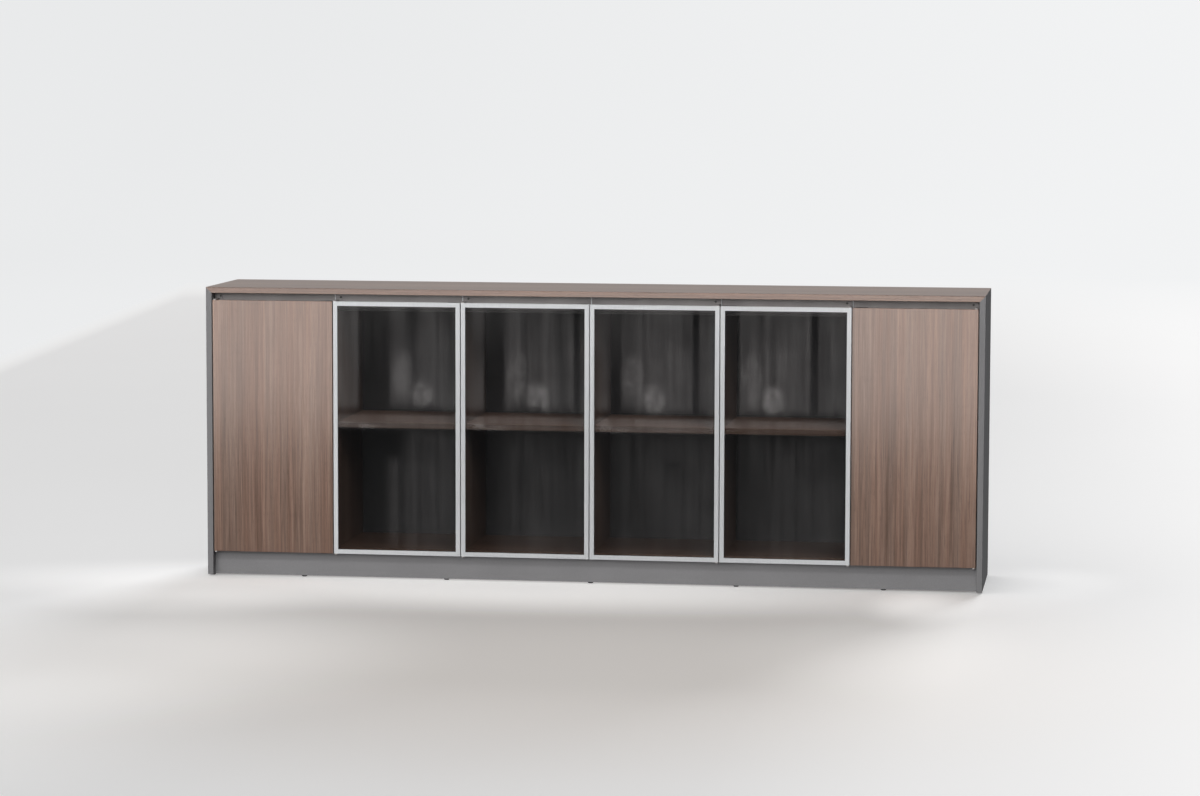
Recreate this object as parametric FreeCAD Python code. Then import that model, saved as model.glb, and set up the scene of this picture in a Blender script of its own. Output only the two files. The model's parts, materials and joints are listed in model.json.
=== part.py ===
import FreeCAD, Part
import os

from FreeCAD import Vector

# Office credenza: a long low cabinet of six equal bays. The two end bays have wood-faced doors and
# the four middle ones have glass doors in narrow aluminium frames. There are no handles: a finger
# recess runs under the top, over all the doors.
#
# Frame: +X to the right, +Y to the back, +Z up. The origin is on the floor under the middle.

# Overall size, millimetres
width = 2400.0
depth = 400.0
height = 900.0
bays = 6

# Board stock
board = 18.0
back_board = 9.0
ease = 1.0                  # rounding of the edges that a hand meets
slack = 0.5                 # all-round play of a panel that drops into a rebate
back_lift = 1.0             # of the back panels' lower edges over the plinth boards

# Base
glide_height = 4.0
glide_radius = 8.0
plinth_top = 77.0
plinth_setback = 25.0
rear_plinth_setback = 17.0
plinth_notch_play = 0.5     # beside each lower hinge plate
brace_lift = 6.0            # how far the cross boards stay above the plinth boards' lower edges
brace_places = (-1.5, 0.0, 1.5)     # in bays from the middle
glide_edge = 1.0            # bevel round each glide
end_glide_inset = 30.0
plinth_glides = (-0.75, -0.375, 0.0, 0.375, 0.75)   # along the half length

# Doors
door_bottom = 78.0
door_top = 860.0
door_thick = 18.0
door_gap = 3.0              # between doors, at the end panels and behind the doors

# Finger recess over the doors, lined with aluminium channels that meet at the dividers
recess_depth = 43.0
channel_wall = 2.0
channel_bottom = 834.0
channel_lip = 3.0           # the front lip hangs this far below the channel
channel_top_flange = 25.0
channel_joint = 0.6         # between two lengths, behind a clip
notch_play = 0.5            # under the channel, where it crosses a divider
notch_play_rear = 0.2
clip_width = 3.0
clip_thick = 1.5
clip_leg = 15.0

# Shelves, one in each bay, on four pins
shelf_top = 487.0
shelf_play = 1.0            # at each end and behind
shelf_setback = 2.0         # behind the front edges of the dividers
pin_radius = 2.45
pin_hole_radius = 2.5
pin_depth = 8.0
pin_hole_extra = 0.5
pin_pitch = 32.0
pin_drop = 4.0              # from the shelf's underside down to the pin's axis
pin_plate_reach = 9.0
pin_plate_half = 5.0
pin_plate_thick = 1.6
pin_stem_drop = 3.5
spare_pin_rows = 2          # spare hole rows above and below the one in use
pin_row_front = -130.0
pin_row_rear = 140.0

# Aluminium door frame section: u runs from the outer edge inwards, v from the front to the back
frame_face = 13.5
frame_wall = 1.5
frame_body = 9.8            # width of the hollow body behind the face
frame_web = 1.2             # wall between the hollow and the glass groove
groove_front = 1.6
groove_back = 7.6
frame_lip_back = 9.2
frame_chamfer = 0.4
glass_thick = 4.0
glass_front = 2.6           # behind the frame's front face
glass_edge = 10.6           # where the pane ends, from the frame's outer edge
gasket_edge = 9.85
gasket_inner = 13.2
gasket_front = 1.65
gasket_back = 7.55
key_leg = 30.0
key_play = 0.1
key_play_deep = 0.3

# Pivot hinges at the top and bottom corner of each door
pivot_from_edge = 5.5
pivot_from_front = 5.0
hinge_pin_radius = 1.75
bush_bore = 1.80
bush_radius = 2.6
bush_hole = 2.65
bush_length = 14.0
bush_flange_radius = 4.2
bush_flange = 0.8
bush_hole_extra = 1.3
pin_engagement = 12.0
pin_head_radius = 3.0
pin_head = 1.2
arm_thick = 2.5
arm_half_width = 4.5
arm_clearance = 1.0         # between a door's end and the arm
tab_reach = 16.0            # the upper bracket's tab, from the pivot away from the door's edge
tab_bottom = 840.0
tab_top = 877.0
lower_plate_rear = -133.0
plate_play = 0.1            # over the notch in the plinth board
upper_screw_inset = 5.0     # from the tab's far edge
upper_screw_rise = 7.0      # over the tab's lower edge
upper_screw_drop = 6.0      # under its upper edge
upper_screw_length = 8.0
lower_screw_length = 14.0
lower_screws_from_rear = (5.0, 17.0)

# Magnetic catches, behind the free top corner of each door
catch_from_edge = 8.0
catch_length = 36.0
catch_bottom = 848.0
catch_top = 859.5
catch_front = -180.0
magnet_front = -180.8
magnet_depth = 10.0
magnet_margin = 3.0
strike_thick = 1.0
strike_height = 9.0
strike_margin = 2.0         # shorter than the catch by this much at each end
strike_drop = 0.5

# Bumpers behind the free edge of each door
bumper_radius = 3.5
bumper_thick = 2.7
bumper_heights = (120.0, 780.0)

# Carcass fastenings
hole_play = 0.05            # radial play of a fastener in its hole
hole_extra = 1.5            # how much deeper a blind hole is than what goes in
screw_head_radius = 3.5
screw_head_height = 2.0
screw_shank_radius = 1.75
cam_radius = 7.4
cam_pocket_radius = 7.5
cam_from_end = 24.0
cam_depth = 12.6
cam_sunk = 0.2              # below the board's face
cam_pocket_extra = 0.6
cam_bore_radius = 3.7       # the way in for the bolt's head
cam_bore_from_axis = 9.0
cam_bore_length = 11.0
cam_slot_half = (4.0, 0.6)  # half length and half width of each arm of the cross slot
cam_slot_depth = 1.5
cam_rows = (-100.0, 140.0)
bolt_thread = (2.9, 11.0)   # radius and length, as for the bolt's other stretches
bolt_shank = (3.3, 17.0)
bolt_neck = (1.8, 3.0)
bolt_head = (3.2, 3.5)
bolt_hole_radius = 3.9
dowel_radius = 4.0
dowel_in_face = 9.0
dowel_in_end = 19.0
dowel_row = 20.0
mitre_dowel_radius = 3.0
mitre_dowel_half = 7.0
mitre_dowel_seat = 0.6      # its middle, as a share of the board from the outer faces
mitre_dowel_rows = (-150.0, -50.0, 50.0, 150.0)
back_screw_length = 25.0
back_screw_edge = 4.25      # at least this far from a back panel's edge
back_screw_heights = (130.0, 370.0, 610.0, 850.0)

# Worked out from the sizes above
bay = width / bays
front = -depth / 2
rear = depth / 2
half = width / 2
inner_half = half - board
under_top = height - board
carcass_front = front + door_thick + door_gap
carcass_rear = rear - back_board
floor_top = plinth_top + board
recess_wall = front + recess_depth
channel_rear = recess_wall + channel_wall
pivot_y = front + pivot_from_front
shelf_bottom = shelf_top - board
pin_height = shelf_bottom - pin_drop
lines = [bay * i - half for i in range(1, bays)]
X = Vector(1, 0, 0)
Y = Vector(0, 1, 0)
Z = Vector(0, 0, 1)


def block(x0, x1, y0, y1, z0, z1):
    """A box between two corners, given in any order."""
    low = Vector(min(x0, x1), min(y0, y1), min(z0, z1))
    return Part.makeBox(abs(x1 - x0), abs(y1 - y0), abs(z1 - z0), low)


def rod(start, direction, radius, length):
    return Part.makeCylinder(radius, length, start, direction)


def prism(points, sweep):
    """A polygon swept along a straight line."""
    return Part.Face(Part.makePolygon(points + points[:1])).extrude(sweep)


def turned(start, direction, steps):
    """Coaxial cylinders end to end from start: steps holds (radius, length) pairs."""
    pieces = []
    at = Vector(start)
    for radius, length in steps:
        pieces.append(rod(at, direction, radius, length))
        at = at + direction * length
    return pieces[0].fuse(pieces[1:]).removeSplitter()


def screw(head, direction, length, grow=0.0):
    """A countersunk screw. The same shape, grown a little, cuts its hole."""
    shank_radius = screw_shank_radius + grow
    cone = Part.makeCone(screw_head_radius + grow, shank_radius, screw_head_height, head, direction)
    start = head + direction * screw_head_height
    shank = rod(start, direction, shank_radius, length - screw_head_height + grow)
    return cone.fuse(shank).removeSplitter()


def eased(shape, y, along):
    """Rounds the straight edges that lie in the plane at y and run along the given axis."""
    chosen = []
    for edge in shape.Edges:
        ends = [v.Point for v in edge.Vertexes]
        if len(ends) == 2 and all(abs(p.y - y) < 1e-6 for p in ends):
            if abs((ends[1] - ends[0]).normalize().dot(along)) > 0.999:
                chosen.append(edge)
    return shape.makeFillet(ease, chosen)


def save(name, solids):
    """Writes one node: a single solid, or a group of separate ones."""
    shape = solids[0] if len(solids) == 1 else Part.makeCompound(solids)
    bad = [s for s in solids if not s.isValid() or len(s.Solids) != 1]
    if bad:
        raise ValueError(name + " has a solid that is not whole")
    shape.exportStep("parts/" + name + ".step")
    print(name, len(solids), round(shape.Volume / 1000.0, 1), "cm3")


# Fasteners: each function gives the pieces and the holes that they need


class Joint:
    """The pieces of one fastening, and the holes to cut in the board that ends there and in the other."""

    def __init__(self, pieces, end_holes, face_holes):
        self.pieces = pieces
        self.end_holes = end_holes
        self.face_holes = face_holes


def cam_joint(start, inward, to_face):
    """A cam lock let into the board that ends at start, and its bolt, screwed into the other board."""
    centre = start + inward * cam_from_end
    face = centre + to_face * (board / 2)
    top = face - to_face * cam_sunk
    cam = rod(top, to_face * -1, cam_radius, cam_depth)
    cam = cam.cut(rod(centre - inward * cam_bore_from_axis, inward, cam_bore_radius, cam_bore_length))
    across = inward.cross(to_face)
    long_half, short_half = cam_slot_half
    for way, other in ((inward, across), (across, inward)):
        corner = top - way * long_half - other * short_half - to_face * cam_slot_depth
        far = top + way * long_half + other * short_half + to_face
        cam = cam.cut(block(corner.x, far.x, corner.y, far.y, corner.z, far.z))
    thread_radius, thread_length = bolt_thread
    root = start - inward * thread_length
    bolt = turned(root, inward, [bolt_thread, bolt_shank, bolt_neck, bolt_head])
    deep = cam_sunk + cam_depth + cam_pocket_extra
    pocket = rod(face + to_face, to_face * -1, cam_pocket_radius, deep + 1)
    shank_hole = rod(start - inward, inward, bolt_hole_radius, cam_from_end)
    thread_deep = thread_length + hole_extra
    thread_hole = rod(start + inward, inward * -1, thread_radius + hole_play, thread_deep + 1)
    return Joint([cam, bolt], [pocket, shank_hole], [thread_hole])


def dowel_joint(start, inward, radius=dowel_radius, in_face=dowel_in_face, in_end=dowel_in_end):
    """A dowel across a joint at start, with its holes in both boards."""
    peg = rod(start - inward * in_face, inward, radius, in_face + in_end)
    hole = radius + hole_play
    end_hole = rod(start - inward, inward, hole, in_end + hole_extra + 1)
    face_hole = rod(start + inward, inward * -1, hole, in_face + hole_extra + 1)
    return Joint([peg], [end_hole], [face_hole])


cams = []
bolts = []
dowels = []
holes = {}


def drill(name, cutters):
    """Notes holes to be cut in a named board."""
    holes.setdefault(name, []).extend(cutters)


def fasten(joint, end_board, face_board):
    """Keeps a joint's pieces and notes its holes."""
    if len(joint.pieces) == 2:
        cams.append(joint.pieces[0])
        bolts.append(joint.pieces[1])
    else:
        dowels.extend(joint.pieces)
    drill(end_board, joint.end_holes)
    drill(face_board, joint.face_holes)


# Carcass boards, before they are drilled


def mitre_wedge(side, keep_top):
    """What the 45 degree corner joint takes off the top panel, or off an end panel."""
    over = 2.0
    out = Vector(side * (half + over), front - over, height + over)
    into = Vector(side * (inner_half - over), front - over, under_top - over)
    if keep_top:
        corner = Vector(out.x, out.y, into.z)
    else:
        corner = Vector(into.x, out.y, out.z)
    return prism([out, into, corner], Y * (depth + 2 * over))


def back_rebate():
    """The room for the back panels in the end panels and the top."""
    side = half - back_board
    return block(-side, side, carcass_rear, rear + 1, plinth_top, height - back_board)


def make_top_panel():
    panel = block(-half, half, front, rear, under_top, height)
    panel = eased(panel, front, X)
    panel = panel.cut([mitre_wedge(-1, True), mitre_wedge(1, True), back_rebate()])
    return panel


def make_side_panel(side):
    panel = block(side * half, side * inner_half, front, rear, glide_height, height)
    panel = eased(panel, front, Z)
    return panel.cut([mitre_wedge(side, False), back_rebate()])


def make_bottom_panel():
    panel = block(-inner_half, inner_half, carcass_front, carcass_rear, plinth_top, floor_top)
    return eased(panel, carcass_front, X)


def make_divider(line):
    """An upright between two bays, notched at its top front corner for the channels."""
    left = line - board / 2
    right = line + board / 2
    upright = block(left, right, carcass_front, carcass_rear, floor_top, under_top)
    upright = eased(upright, carcass_front, Z)
    notch_bottom = channel_bottom - channel_lip - notch_play
    notch = block(left - 1, right + 1, front, channel_rear + notch_play_rear, notch_bottom, height)
    return upright.cut(notch)


def bay_faces(index):
    """The inner faces of a bay, left and right, and the boards that they belong to."""
    left = -inner_half if index == 0 else lines[index - 1] + board / 2
    right = inner_half if index == bays - 1 else lines[index] - board / 2
    left_board = "side_panel_left" if index == 0 else "divider_%d" % index
    right_board = "side_panel_right" if index == bays - 1 else "divider_%d" % (index + 1)
    return left, right, left_board, right_board


def make_shelf(index):
    left, right, _, _ = bay_faces(index)
    y0 = carcass_front + shelf_setback
    y1 = carcass_rear - shelf_play
    shelf = block(left + shelf_play, right - shelf_play, y0, y1, shelf_bottom, shelf_top)
    return eased(shelf, y0, X)


def make_back_panel(left, right):
    """One of the three boards that close the back."""
    z0 = plinth_top + back_lift
    return block(left, right, carcass_rear, rear, z0, height - back_board - slack)


def make_shelf_pins():
    """Four spoon-shaped pins for each shelf, and the rows of holes that they fit."""
    pins = []
    for index in range(bays):
        left, right, left_board, right_board = bay_faces(index)
        for face, into, name in ((left, -1, left_board), (right, 1, right_board)):
            for y in (pin_row_front, pin_row_rear):
                y0 = y - pin_plate_half
                y1 = y + pin_plate_half
                z1 = shelf_bottom
                thick = pin_plate_thick
                peg = rod(Vector(face, y, pin_height), X * into, pin_radius, pin_depth)
                plate = block(face, face - into * pin_plate_reach, y0, y1, z1 - thick, z1)
                stem = block(face, face - into * thick, y0, y1, pin_height - pin_stem_drop, z1)
                pins.append(peg.fuse([plate, stem]).removeSplitter())
                for row in range(-spare_pin_rows, spare_pin_rows + 1):
                    at = Vector(face - into, y, pin_height + row * pin_pitch)
                    drill(name, [rod(at, X * into, pin_hole_radius, pin_depth + pin_hole_extra + 1)])
    return pins


# Base


def make_plinth_front():
    """The recessed board under the doors, notched for the lower hinge plates."""
    y0 = front + plinth_setback
    kick = block(-inner_half, inner_half, y0, y0 + board, glide_height, plinth_top)
    notches = []
    for door in doors:
        x = door.pivot_x
        reach = arm_half_width + plinth_notch_play
        low = plinth_top - arm_thick - plate_play
        notches.append(block(x - reach, x + reach, y0 - 1, y0 + board + 1, low, plinth_top + 1))
    return kick.cut(notches)


def make_plinth_rear():
    y1 = rear - rear_plinth_setback
    return block(-inner_half, inner_half, y1 - board, y1, glide_height, plinth_top)


def make_plinth_braces():
    """Cross boards between the two plinth boards."""
    y0 = front + plinth_setback + board
    y1 = rear - rear_plinth_setback - board
    braces = []
    for place in brace_places:
        x = place * bay
        braces.append(block(x - board / 2, x + board / 2, y0, y1, glide_height + brace_lift, plinth_top))
    return braces


def make_floor_glides():
    """Round plastic feet nailed under the end panels and the plinth boards."""
    plinth_front_y = front + plinth_setback + board / 2
    plinth_rear_y = rear - rear_plinth_setback - board / 2
    spots = []
    for side in (-1, 1):
        x = side * (half - board / 2)
        spots += [(x, front + end_glide_inset), (x, rear - end_glide_inset)]
    for share in plinth_glides:
        spots += [(share * half, plinth_front_y), (share * half, plinth_rear_y)]
    glides = []
    for x, y in spots:
        base = Part.makeCone(glide_radius - glide_edge, glide_radius, glide_edge, Vector(x, y, 0))
        body = rod(Vector(x, y, glide_edge), Z, glide_radius, glide_height - glide_edge)
        glides.append(base.fuse(body).removeSplitter())
    return glides


# Doors


class Door:
    """One door's place: its edges, which edge carries the pivots, and where the pivots stand."""

    def __init__(self, index):
        self.number = index + 1
        self.name = "door_%d" % self.number
        self.glazed = 0 < index < bays - 1
        self.left = -inner_half + door_gap if index == 0 else lines[index - 1] + door_gap / 2
        self.right = inner_half - door_gap if index == bays - 1 else lines[index] - door_gap / 2
        self.inward = 1 if index < bays / 2 else -1
        self.hinge_edge = self.left if self.inward > 0 else self.right
        self.free_edge = self.right if self.inward > 0 else self.left
        self.pivot_x = self.hinge_edge + self.inward * pivot_from_edge


def end_directions():
    """The top and the bottom end of a door: height, and the way out of the door."""
    return ((door_top, Z), (door_bottom, Z * -1))


def bush_holes(door):
    cutters = []
    for z, out in end_directions():
        start = Vector(door.pivot_x, pivot_y, z) + out
        cutters.append(rod(start, out * -1, bush_hole, bush_length + bush_hole_extra))
    return cutters


def pivot_bushes(door):
    """Flanged sleeves in the door's two ends, which turn on the hinge pins."""
    bushes = []
    for z, out in end_directions():
        deep = Vector(door.pivot_x, pivot_y, z) - out * bush_length
        body = turned(deep, out, [(bush_radius, bush_length), (bush_flange_radius, bush_flange)])
        bore = rod(deep - out, out, bush_bore, bush_length + bush_flange + 2)
        bushes.append(body.cut(bore))
    return bushes


def make_wood_door(door):
    panel = block(door.left, door.right, front, front + door_thick, door_bottom, door_top)
    rim = [e for e in panel.Edges if all(abs(v.Point.y - front) < 1e-6 for v in e.Vertexes)]
    return panel.makeFillet(ease, rim).cut(bush_holes(door))


def frame_section():
    """The frame's outline and its hollow, as (u, v) points."""
    c = frame_chamfer
    outline = [
        (0, c), (c, 0), (frame_face - c, 0), (frame_face, c),
        (frame_face, groove_front), (frame_body, groove_front),
        (frame_body, groove_back), (frame_face, groove_back),
        (frame_face, frame_lip_back), (frame_body, frame_lip_back),
        (frame_body, door_thick), (0, door_thick),
    ]
    inner = frame_body - frame_web
    deep = door_thick - frame_wall
    hollow = [(frame_wall, frame_wall), (inner, frame_wall), (inner, deep), (frame_wall, deep)]
    return outline, hollow


def frame_member(door, place):
    """One mitred length of the frame: left or right stile, top or bottom rail."""
    x0, x1, z0, z1 = door.left, door.right, door_bottom, door_top
    f = frame_face
    upright = place in ("left", "right")
    placed = {
        "left": lambda u, v: Vector(x0 + u, front + v, z0),
        "right": lambda u, v: Vector(x1 - u, front + v, z0),
        "bottom": lambda u, v: Vector(x0, front + v, z0 + u),
        "top": lambda u, v: Vector(x0, front + v, z1 - u),
    }[place]
    corners = {
        "left": [(x0, z0), (x0 + f, z0 + f), (x0 + f, z1 - f), (x0, z1)],
        "right": [(x1, z0), (x1 - f, z0 + f), (x1 - f, z1 - f), (x1, z1)],
        "bottom": [(x0, z0), (x0 + f, z0 + f), (x1 - f, z0 + f), (x1, z0)],
        "top": [(x0, z1), (x0 + f, z1 - f), (x1 - f, z1 - f), (x1, z1)],
    }[place]
    sweep = Z * (z1 - z0) if upright else X * (x1 - x0)
    outline, hollow = frame_section()
    bar = prism([placed(u, v) for u, v in outline], sweep)
    bar = bar.cut(prism([placed(u, v) for u, v in hollow], sweep))
    mitres = prism([Vector(x, front - 1, z) for x, z in corners], Y * (door_thick + 2))
    return bar.common(mitres)


def make_frame(door):
    members = [frame_member(door, place) for place in ("left", "right", "bottom", "top")]
    return [member.cut(bush_holes(door)) for member in members]


def inset_block(door, edge, v0, v1):
    """A block in the door's plane, inside its outline by edge, from depth v0 to v1."""
    x0, x1 = door.left + edge, door.right - edge
    return block(x0, x1, front + v0, front + v1, door_bottom + edge, door_top - edge)


def make_glass(door):
    return inset_block(door, glass_edge, glass_front, glass_front + glass_thick)


def make_gasket(door):
    """The rubber channel that holds the pane in the frame's groove."""
    ring = inset_block(door, gasket_edge, gasket_front, gasket_back)
    opening = inset_block(door, gasket_inner, 0, door_thick)
    return ring.cut([opening, make_glass(door)])


def make_corner_keys(door):
    """L-shaped blocks inside the frame's corners."""
    near = frame_wall + key_play
    far = frame_body - frame_web - key_play
    y0 = front + frame_wall + key_play_deep
    y1 = front + door_thick - frame_wall - key_play_deep
    keys = []
    for x, dx in ((door.left, 1), (door.right, -1)):
        for z, dz in ((door_bottom, 1), (door_top, -1)):
            stile_leg = block(x + dx * near, x + dx * far, y0, y1, z + dz * near, z + dz * key_leg)
            rail_leg = block(x + dx * near, x + dx * key_leg, y0, y1, z + dz * near, z + dz * far)
            key = stile_leg.fuse(rail_leg).removeSplitter()
            keys.append(key.cut(bush_holes(door)))
    return keys


def make_strike_plate(door):
    """The steel plate that the magnet holds, near the door's free top corner."""
    x0 = door.free_edge - door.inward * (catch_from_edge + strike_margin)
    x1 = x0 - door.inward * (catch_length - 2 * strike_margin)
    y0 = front + door_thick
    z1 = door_top - strike_drop
    return block(x0, x1, y0, y0 + strike_thick, z1 - strike_height, z1)


# Hinge brackets, pins and catches, all fixed to the carcass


def upper_bracket(door):
    """A tab on the channel's rear wall, with an arm that reaches over the door's top corner."""
    x, s = door.pivot_x, door.inward
    z0 = door_top + arm_clearance
    z1 = z0 + arm_thick
    y_tab = recess_wall - arm_thick
    tab = block(x - s * arm_half_width, x + s * tab_reach, y_tab, recess_wall, tab_bottom, tab_top)
    arm = block(x - arm_half_width, x + arm_half_width, pivot_y, recess_wall, z0, z1)
    tip = rod(Vector(x, pivot_y, z0), Z, arm_half_width, arm_thick)
    hole = rod(Vector(x, pivot_y, z0 - 1), Z, hinge_pin_radius + hole_play, arm_thick + 2)
    bracket = tab.fuse([arm, tip]).removeSplitter().cut(hole)
    return bracket.cut([screw(at, Y, upper_screw_length, hole_play) for at in upper_screw_spots(door)])


def upper_screw_spots(door):
    x = door.pivot_x + door.inward * (tab_reach - upper_screw_inset)
    heights = (tab_bottom + upper_screw_rise, tab_top - upper_screw_drop)
    return [Vector(x, recess_wall - arm_thick, z) for z in heights]


def lower_bracket(door):
    """A flat plate under the bottom panel, which reaches forward under the door's bottom corner."""
    x = door.pivot_x
    z0 = plinth_top - arm_thick
    plate = block(x - arm_half_width, x + arm_half_width, pivot_y, lower_plate_rear, z0, plinth_top)
    tip = rod(Vector(x, pivot_y, z0), Z, arm_half_width, arm_thick)
    hole = rod(Vector(x, pivot_y, z0 - 1), Z, hinge_pin_radius + hole_play, arm_thick + 2)
    bracket = plate.fuse(tip).removeSplitter().cut(hole)
    return bracket.cut([screw(at, Z, lower_screw_length, hole_play) for at in lower_screw_spots(door)])


def lower_screw_spots(door):
    z = plinth_top - arm_thick
    return [Vector(door.pivot_x, lower_plate_rear - inset, z) for inset in lower_screws_from_rear]


def hinge_pins(door):
    """Headed pins riveted through the two arms."""
    upper_face = door_top + arm_clearance + arm_thick
    lower_face = plinth_top - arm_thick
    pins = []
    for z, door_end, down in ((upper_face, door_top, -1), (lower_face, door_bottom, 1)):
        start = Vector(door.pivot_x, pivot_y, z - down * pin_head)
        shank = abs(z - door_end) + pin_engagement
        pins.append(turned(start, Z * down, [(pin_head_radius, pin_head), (hinge_pin_radius, shank)]))
    return pins


def make_bracket_screws():
    """The screws of all the brackets, with their pilot holes in the channels and the bottom panel."""
    made = []
    for door in doors:
        for at in upper_screw_spots(door):
            made.append(screw(at, Y, upper_screw_length))
            drill("grip_channels", [screw(at, Y, upper_screw_length, hole_play)])
        for at in lower_screw_spots(door):
            made.append(screw(at, Z, lower_screw_length))
            drill("bottom_panel", [screw(at, Z, lower_screw_length, hole_play)])
    return made


def make_catch(door):
    """A plastic housing in the finger recess, with its magnet facing the door."""
    x0 = door.free_edge - door.inward * catch_from_edge
    x1 = x0 - door.inward * catch_length
    housing = block(x0, x1, catch_front, recess_wall, catch_bottom, catch_top)
    m0 = x0 - door.inward * magnet_margin
    m1 = x1 + door.inward * magnet_margin
    z0 = catch_bottom + magnet_margin
    z1 = catch_top - magnet_margin
    magnet = block(m0, m1, magnet_front, magnet_front + magnet_depth, z0, z1)
    return [housing.cut(magnet), magnet]


def make_bumpers():
    """Small round buffers on the dividers, behind the free edge of each door."""
    made = []
    for door in doors:
        x = door.free_edge - door.inward * bumper_radius
        for z in bumper_heights:
            made.append(rod(Vector(x, carcass_front, z), Y * -1, bumper_radius, bumper_thick))
    return made


# Finger recess channels


def make_channels():
    """C-shaped extrusions, open to the front: one length over each bay, end to end."""
    t = channel_wall
    top_front = channel_rear - channel_top_flange
    points = [
        (channel_rear, under_top), (top_front, under_top), (top_front, under_top - t),
        (recess_wall, under_top - t), (recess_wall, channel_bottom + t),
        (carcass_front, channel_bottom + t), (carcass_front, channel_bottom - channel_lip),
        (carcass_front + t, channel_bottom - channel_lip), (carcass_front + t, channel_bottom),
        (channel_rear, channel_bottom),
    ]
    end = inner_half - slack
    half_joint = channel_joint / 2
    starts = [-end] + [line + half_joint for line in lines]
    stops = [line - half_joint for line in lines] + [end]
    lengths = []
    for x0, x1 in zip(starts, stops):
        lengths.append(prism([Vector(x0, y, z) for y, z in points], X * (x1 - x0)))
    return Part.makeCompound(lengths)


def make_channel_clips():
    """Thin bright clips that hold the channels' ends to the dividers and cover the joints."""
    t = clip_thick
    z0 = channel_bottom + channel_wall
    z1 = under_top - channel_wall
    made = []
    for line in lines:
        x0 = line - clip_width / 2
        points = [
            (recess_wall, z0), (recess_wall, z1), (recess_wall - clip_leg, z1),
            (recess_wall - clip_leg, z1 - t), (recess_wall - t, z1 - t),
            (recess_wall - t, z0 + t), (recess_wall - clip_leg, z0 + t), (recess_wall - clip_leg, z0),
        ]
        made.append(prism([Vector(x0, y, z) for y, z in points], X * clip_width))
    return made


# Fastenings of the carcass


def fasten_dividers():
    for number, line in enumerate(lines, 1):
        name = "divider_%d" % number
        for z, inward, face_board in ((floor_top, Z, "bottom_panel"), (under_top, Z * -1, "top_panel")):
            for y in cam_rows:
                fasten(cam_joint(Vector(line, y, z), inward, X * -1), name, face_board)
            fasten(dowel_joint(Vector(line, dowel_row, z), inward), name, face_board)


def fasten_ends():
    """The bottom panel and the plinth boards to the end panels, and the mitred top corners."""
    middle = (plinth_top + floor_top) / 2
    plinth_middle = (glide_height + plinth_top) / 2
    front_y = front + plinth_setback + board / 2
    rear_y = rear - rear_plinth_setback - board / 2
    for side, name in ((-1, "side_panel_left"), (1, "side_panel_right")):
        inward = X * -side
        x = side * inner_half
        for y in cam_rows:
            fasten(cam_joint(Vector(x, y, middle), inward, Z * -1), "bottom_panel", name)
        fasten(dowel_joint(Vector(x, dowel_row, middle), inward), "bottom_panel", name)
        fasten(dowel_joint(Vector(x, front_y, plinth_middle), inward), "plinth_front_board", name)
        fasten(dowel_joint(Vector(x, rear_y, plinth_middle), inward), "plinth_rear_board", name)
        across = Vector(-side, 0, 1).normalize()
        seat = mitre_dowel_seat * board
        reach = mitre_dowel_half
        for y in mitre_dowel_rows:
            start = Vector(side * (half - seat), y, height - seat)
            peg = dowel_joint(start, across, mitre_dowel_radius, reach, reach)
            fasten(peg, "top_panel", name)


def make_back_screws(panels):
    """Screws through the back panels into the uprights and the bottom panel."""
    spots = []
    supports = ["side_panel_left"] + ["divider_%d" % n for n in range(1, bays)] + ["side_panel_right"]
    rail = half - back_board * 1.5
    centres = [-rail] + lines + [rail]
    for name, (left, right) in panels.items():
        for support, centre in zip(supports, centres):
            if not left - board < centre < right + board:
                continue
            x = min(max(centre, left + back_screw_edge), right - back_screw_edge)
            spots += [(Vector(x, rear, z), name, support) for z in back_screw_heights]
        for index in range(bays):
            x = (index + 0.5) * bay - half
            if left < x < right:
                spots.append((Vector(x, rear, (plinth_top + floor_top) / 2), name, "bottom_panel"))
    made = []
    for at, name, support in spots:
        made.append(screw(at, Y * -1, back_screw_length))
        hole = screw(at, Y * -1, back_screw_length, hole_play)
        drill(name, [hole])
        drill(support, [hole])
    return made


doors = [Door(index) for index in range(bays)]
back_edge = half - back_board - slack
back_panels = {
    "back_panel_left": (-back_edge, -bay - slack / 2),
    "back_panel_middle": (-bay + slack / 2, bay - slack / 2),
    "back_panel_right": (bay + slack / 2, back_edge),
}

boards = {
    "top_panel": make_top_panel(),
    "side_panel_left": make_side_panel(-1),
    "side_panel_right": make_side_panel(1),
    "bottom_panel": make_bottom_panel(),
    "plinth_front_board": make_plinth_front(),
    "plinth_rear_board": make_plinth_rear(),
    "grip_channels": make_channels(),
}
for number, line in enumerate(lines, 1):
    boards["divider_%d" % number] = make_divider(line)
for name, (left, right) in back_panels.items():
    boards[name] = make_back_panel(left, right)

shelf_pins = make_shelf_pins()
bracket_screws = make_bracket_screws()
back_screws = make_back_screws(back_panels)
fasten_dividers()
fasten_ends()

for name, shape in boards.items():
    drilled = shape.cut(holes[name]) if name in holes else shape
    save(name, drilled.Solids)
for index in range(bays):
    save("shelf_%d" % (index + 1), [make_shelf(index)])
save("shelf_pins", shelf_pins)
save("plinth_braces", make_plinth_braces())
save("floor_glides", make_floor_glides())
save("channel_clips", make_channel_clips())
save("cam_locks", cams)
save("cam_bolts", bolts)
save("dowels", dowels)
save("back_panel_screws", back_screws)
save("hinge_brackets", [make(door) for make in (upper_bracket, lower_bracket) for door in doors])
save("hinge_pins", [pin for door in doors for pin in hinge_pins(door)])
save("bracket_screws", bracket_screws)
save("magnetic_catches", [piece for door in doors for piece in make_catch(door)])
save("door_bumpers", make_bumpers())

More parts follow.
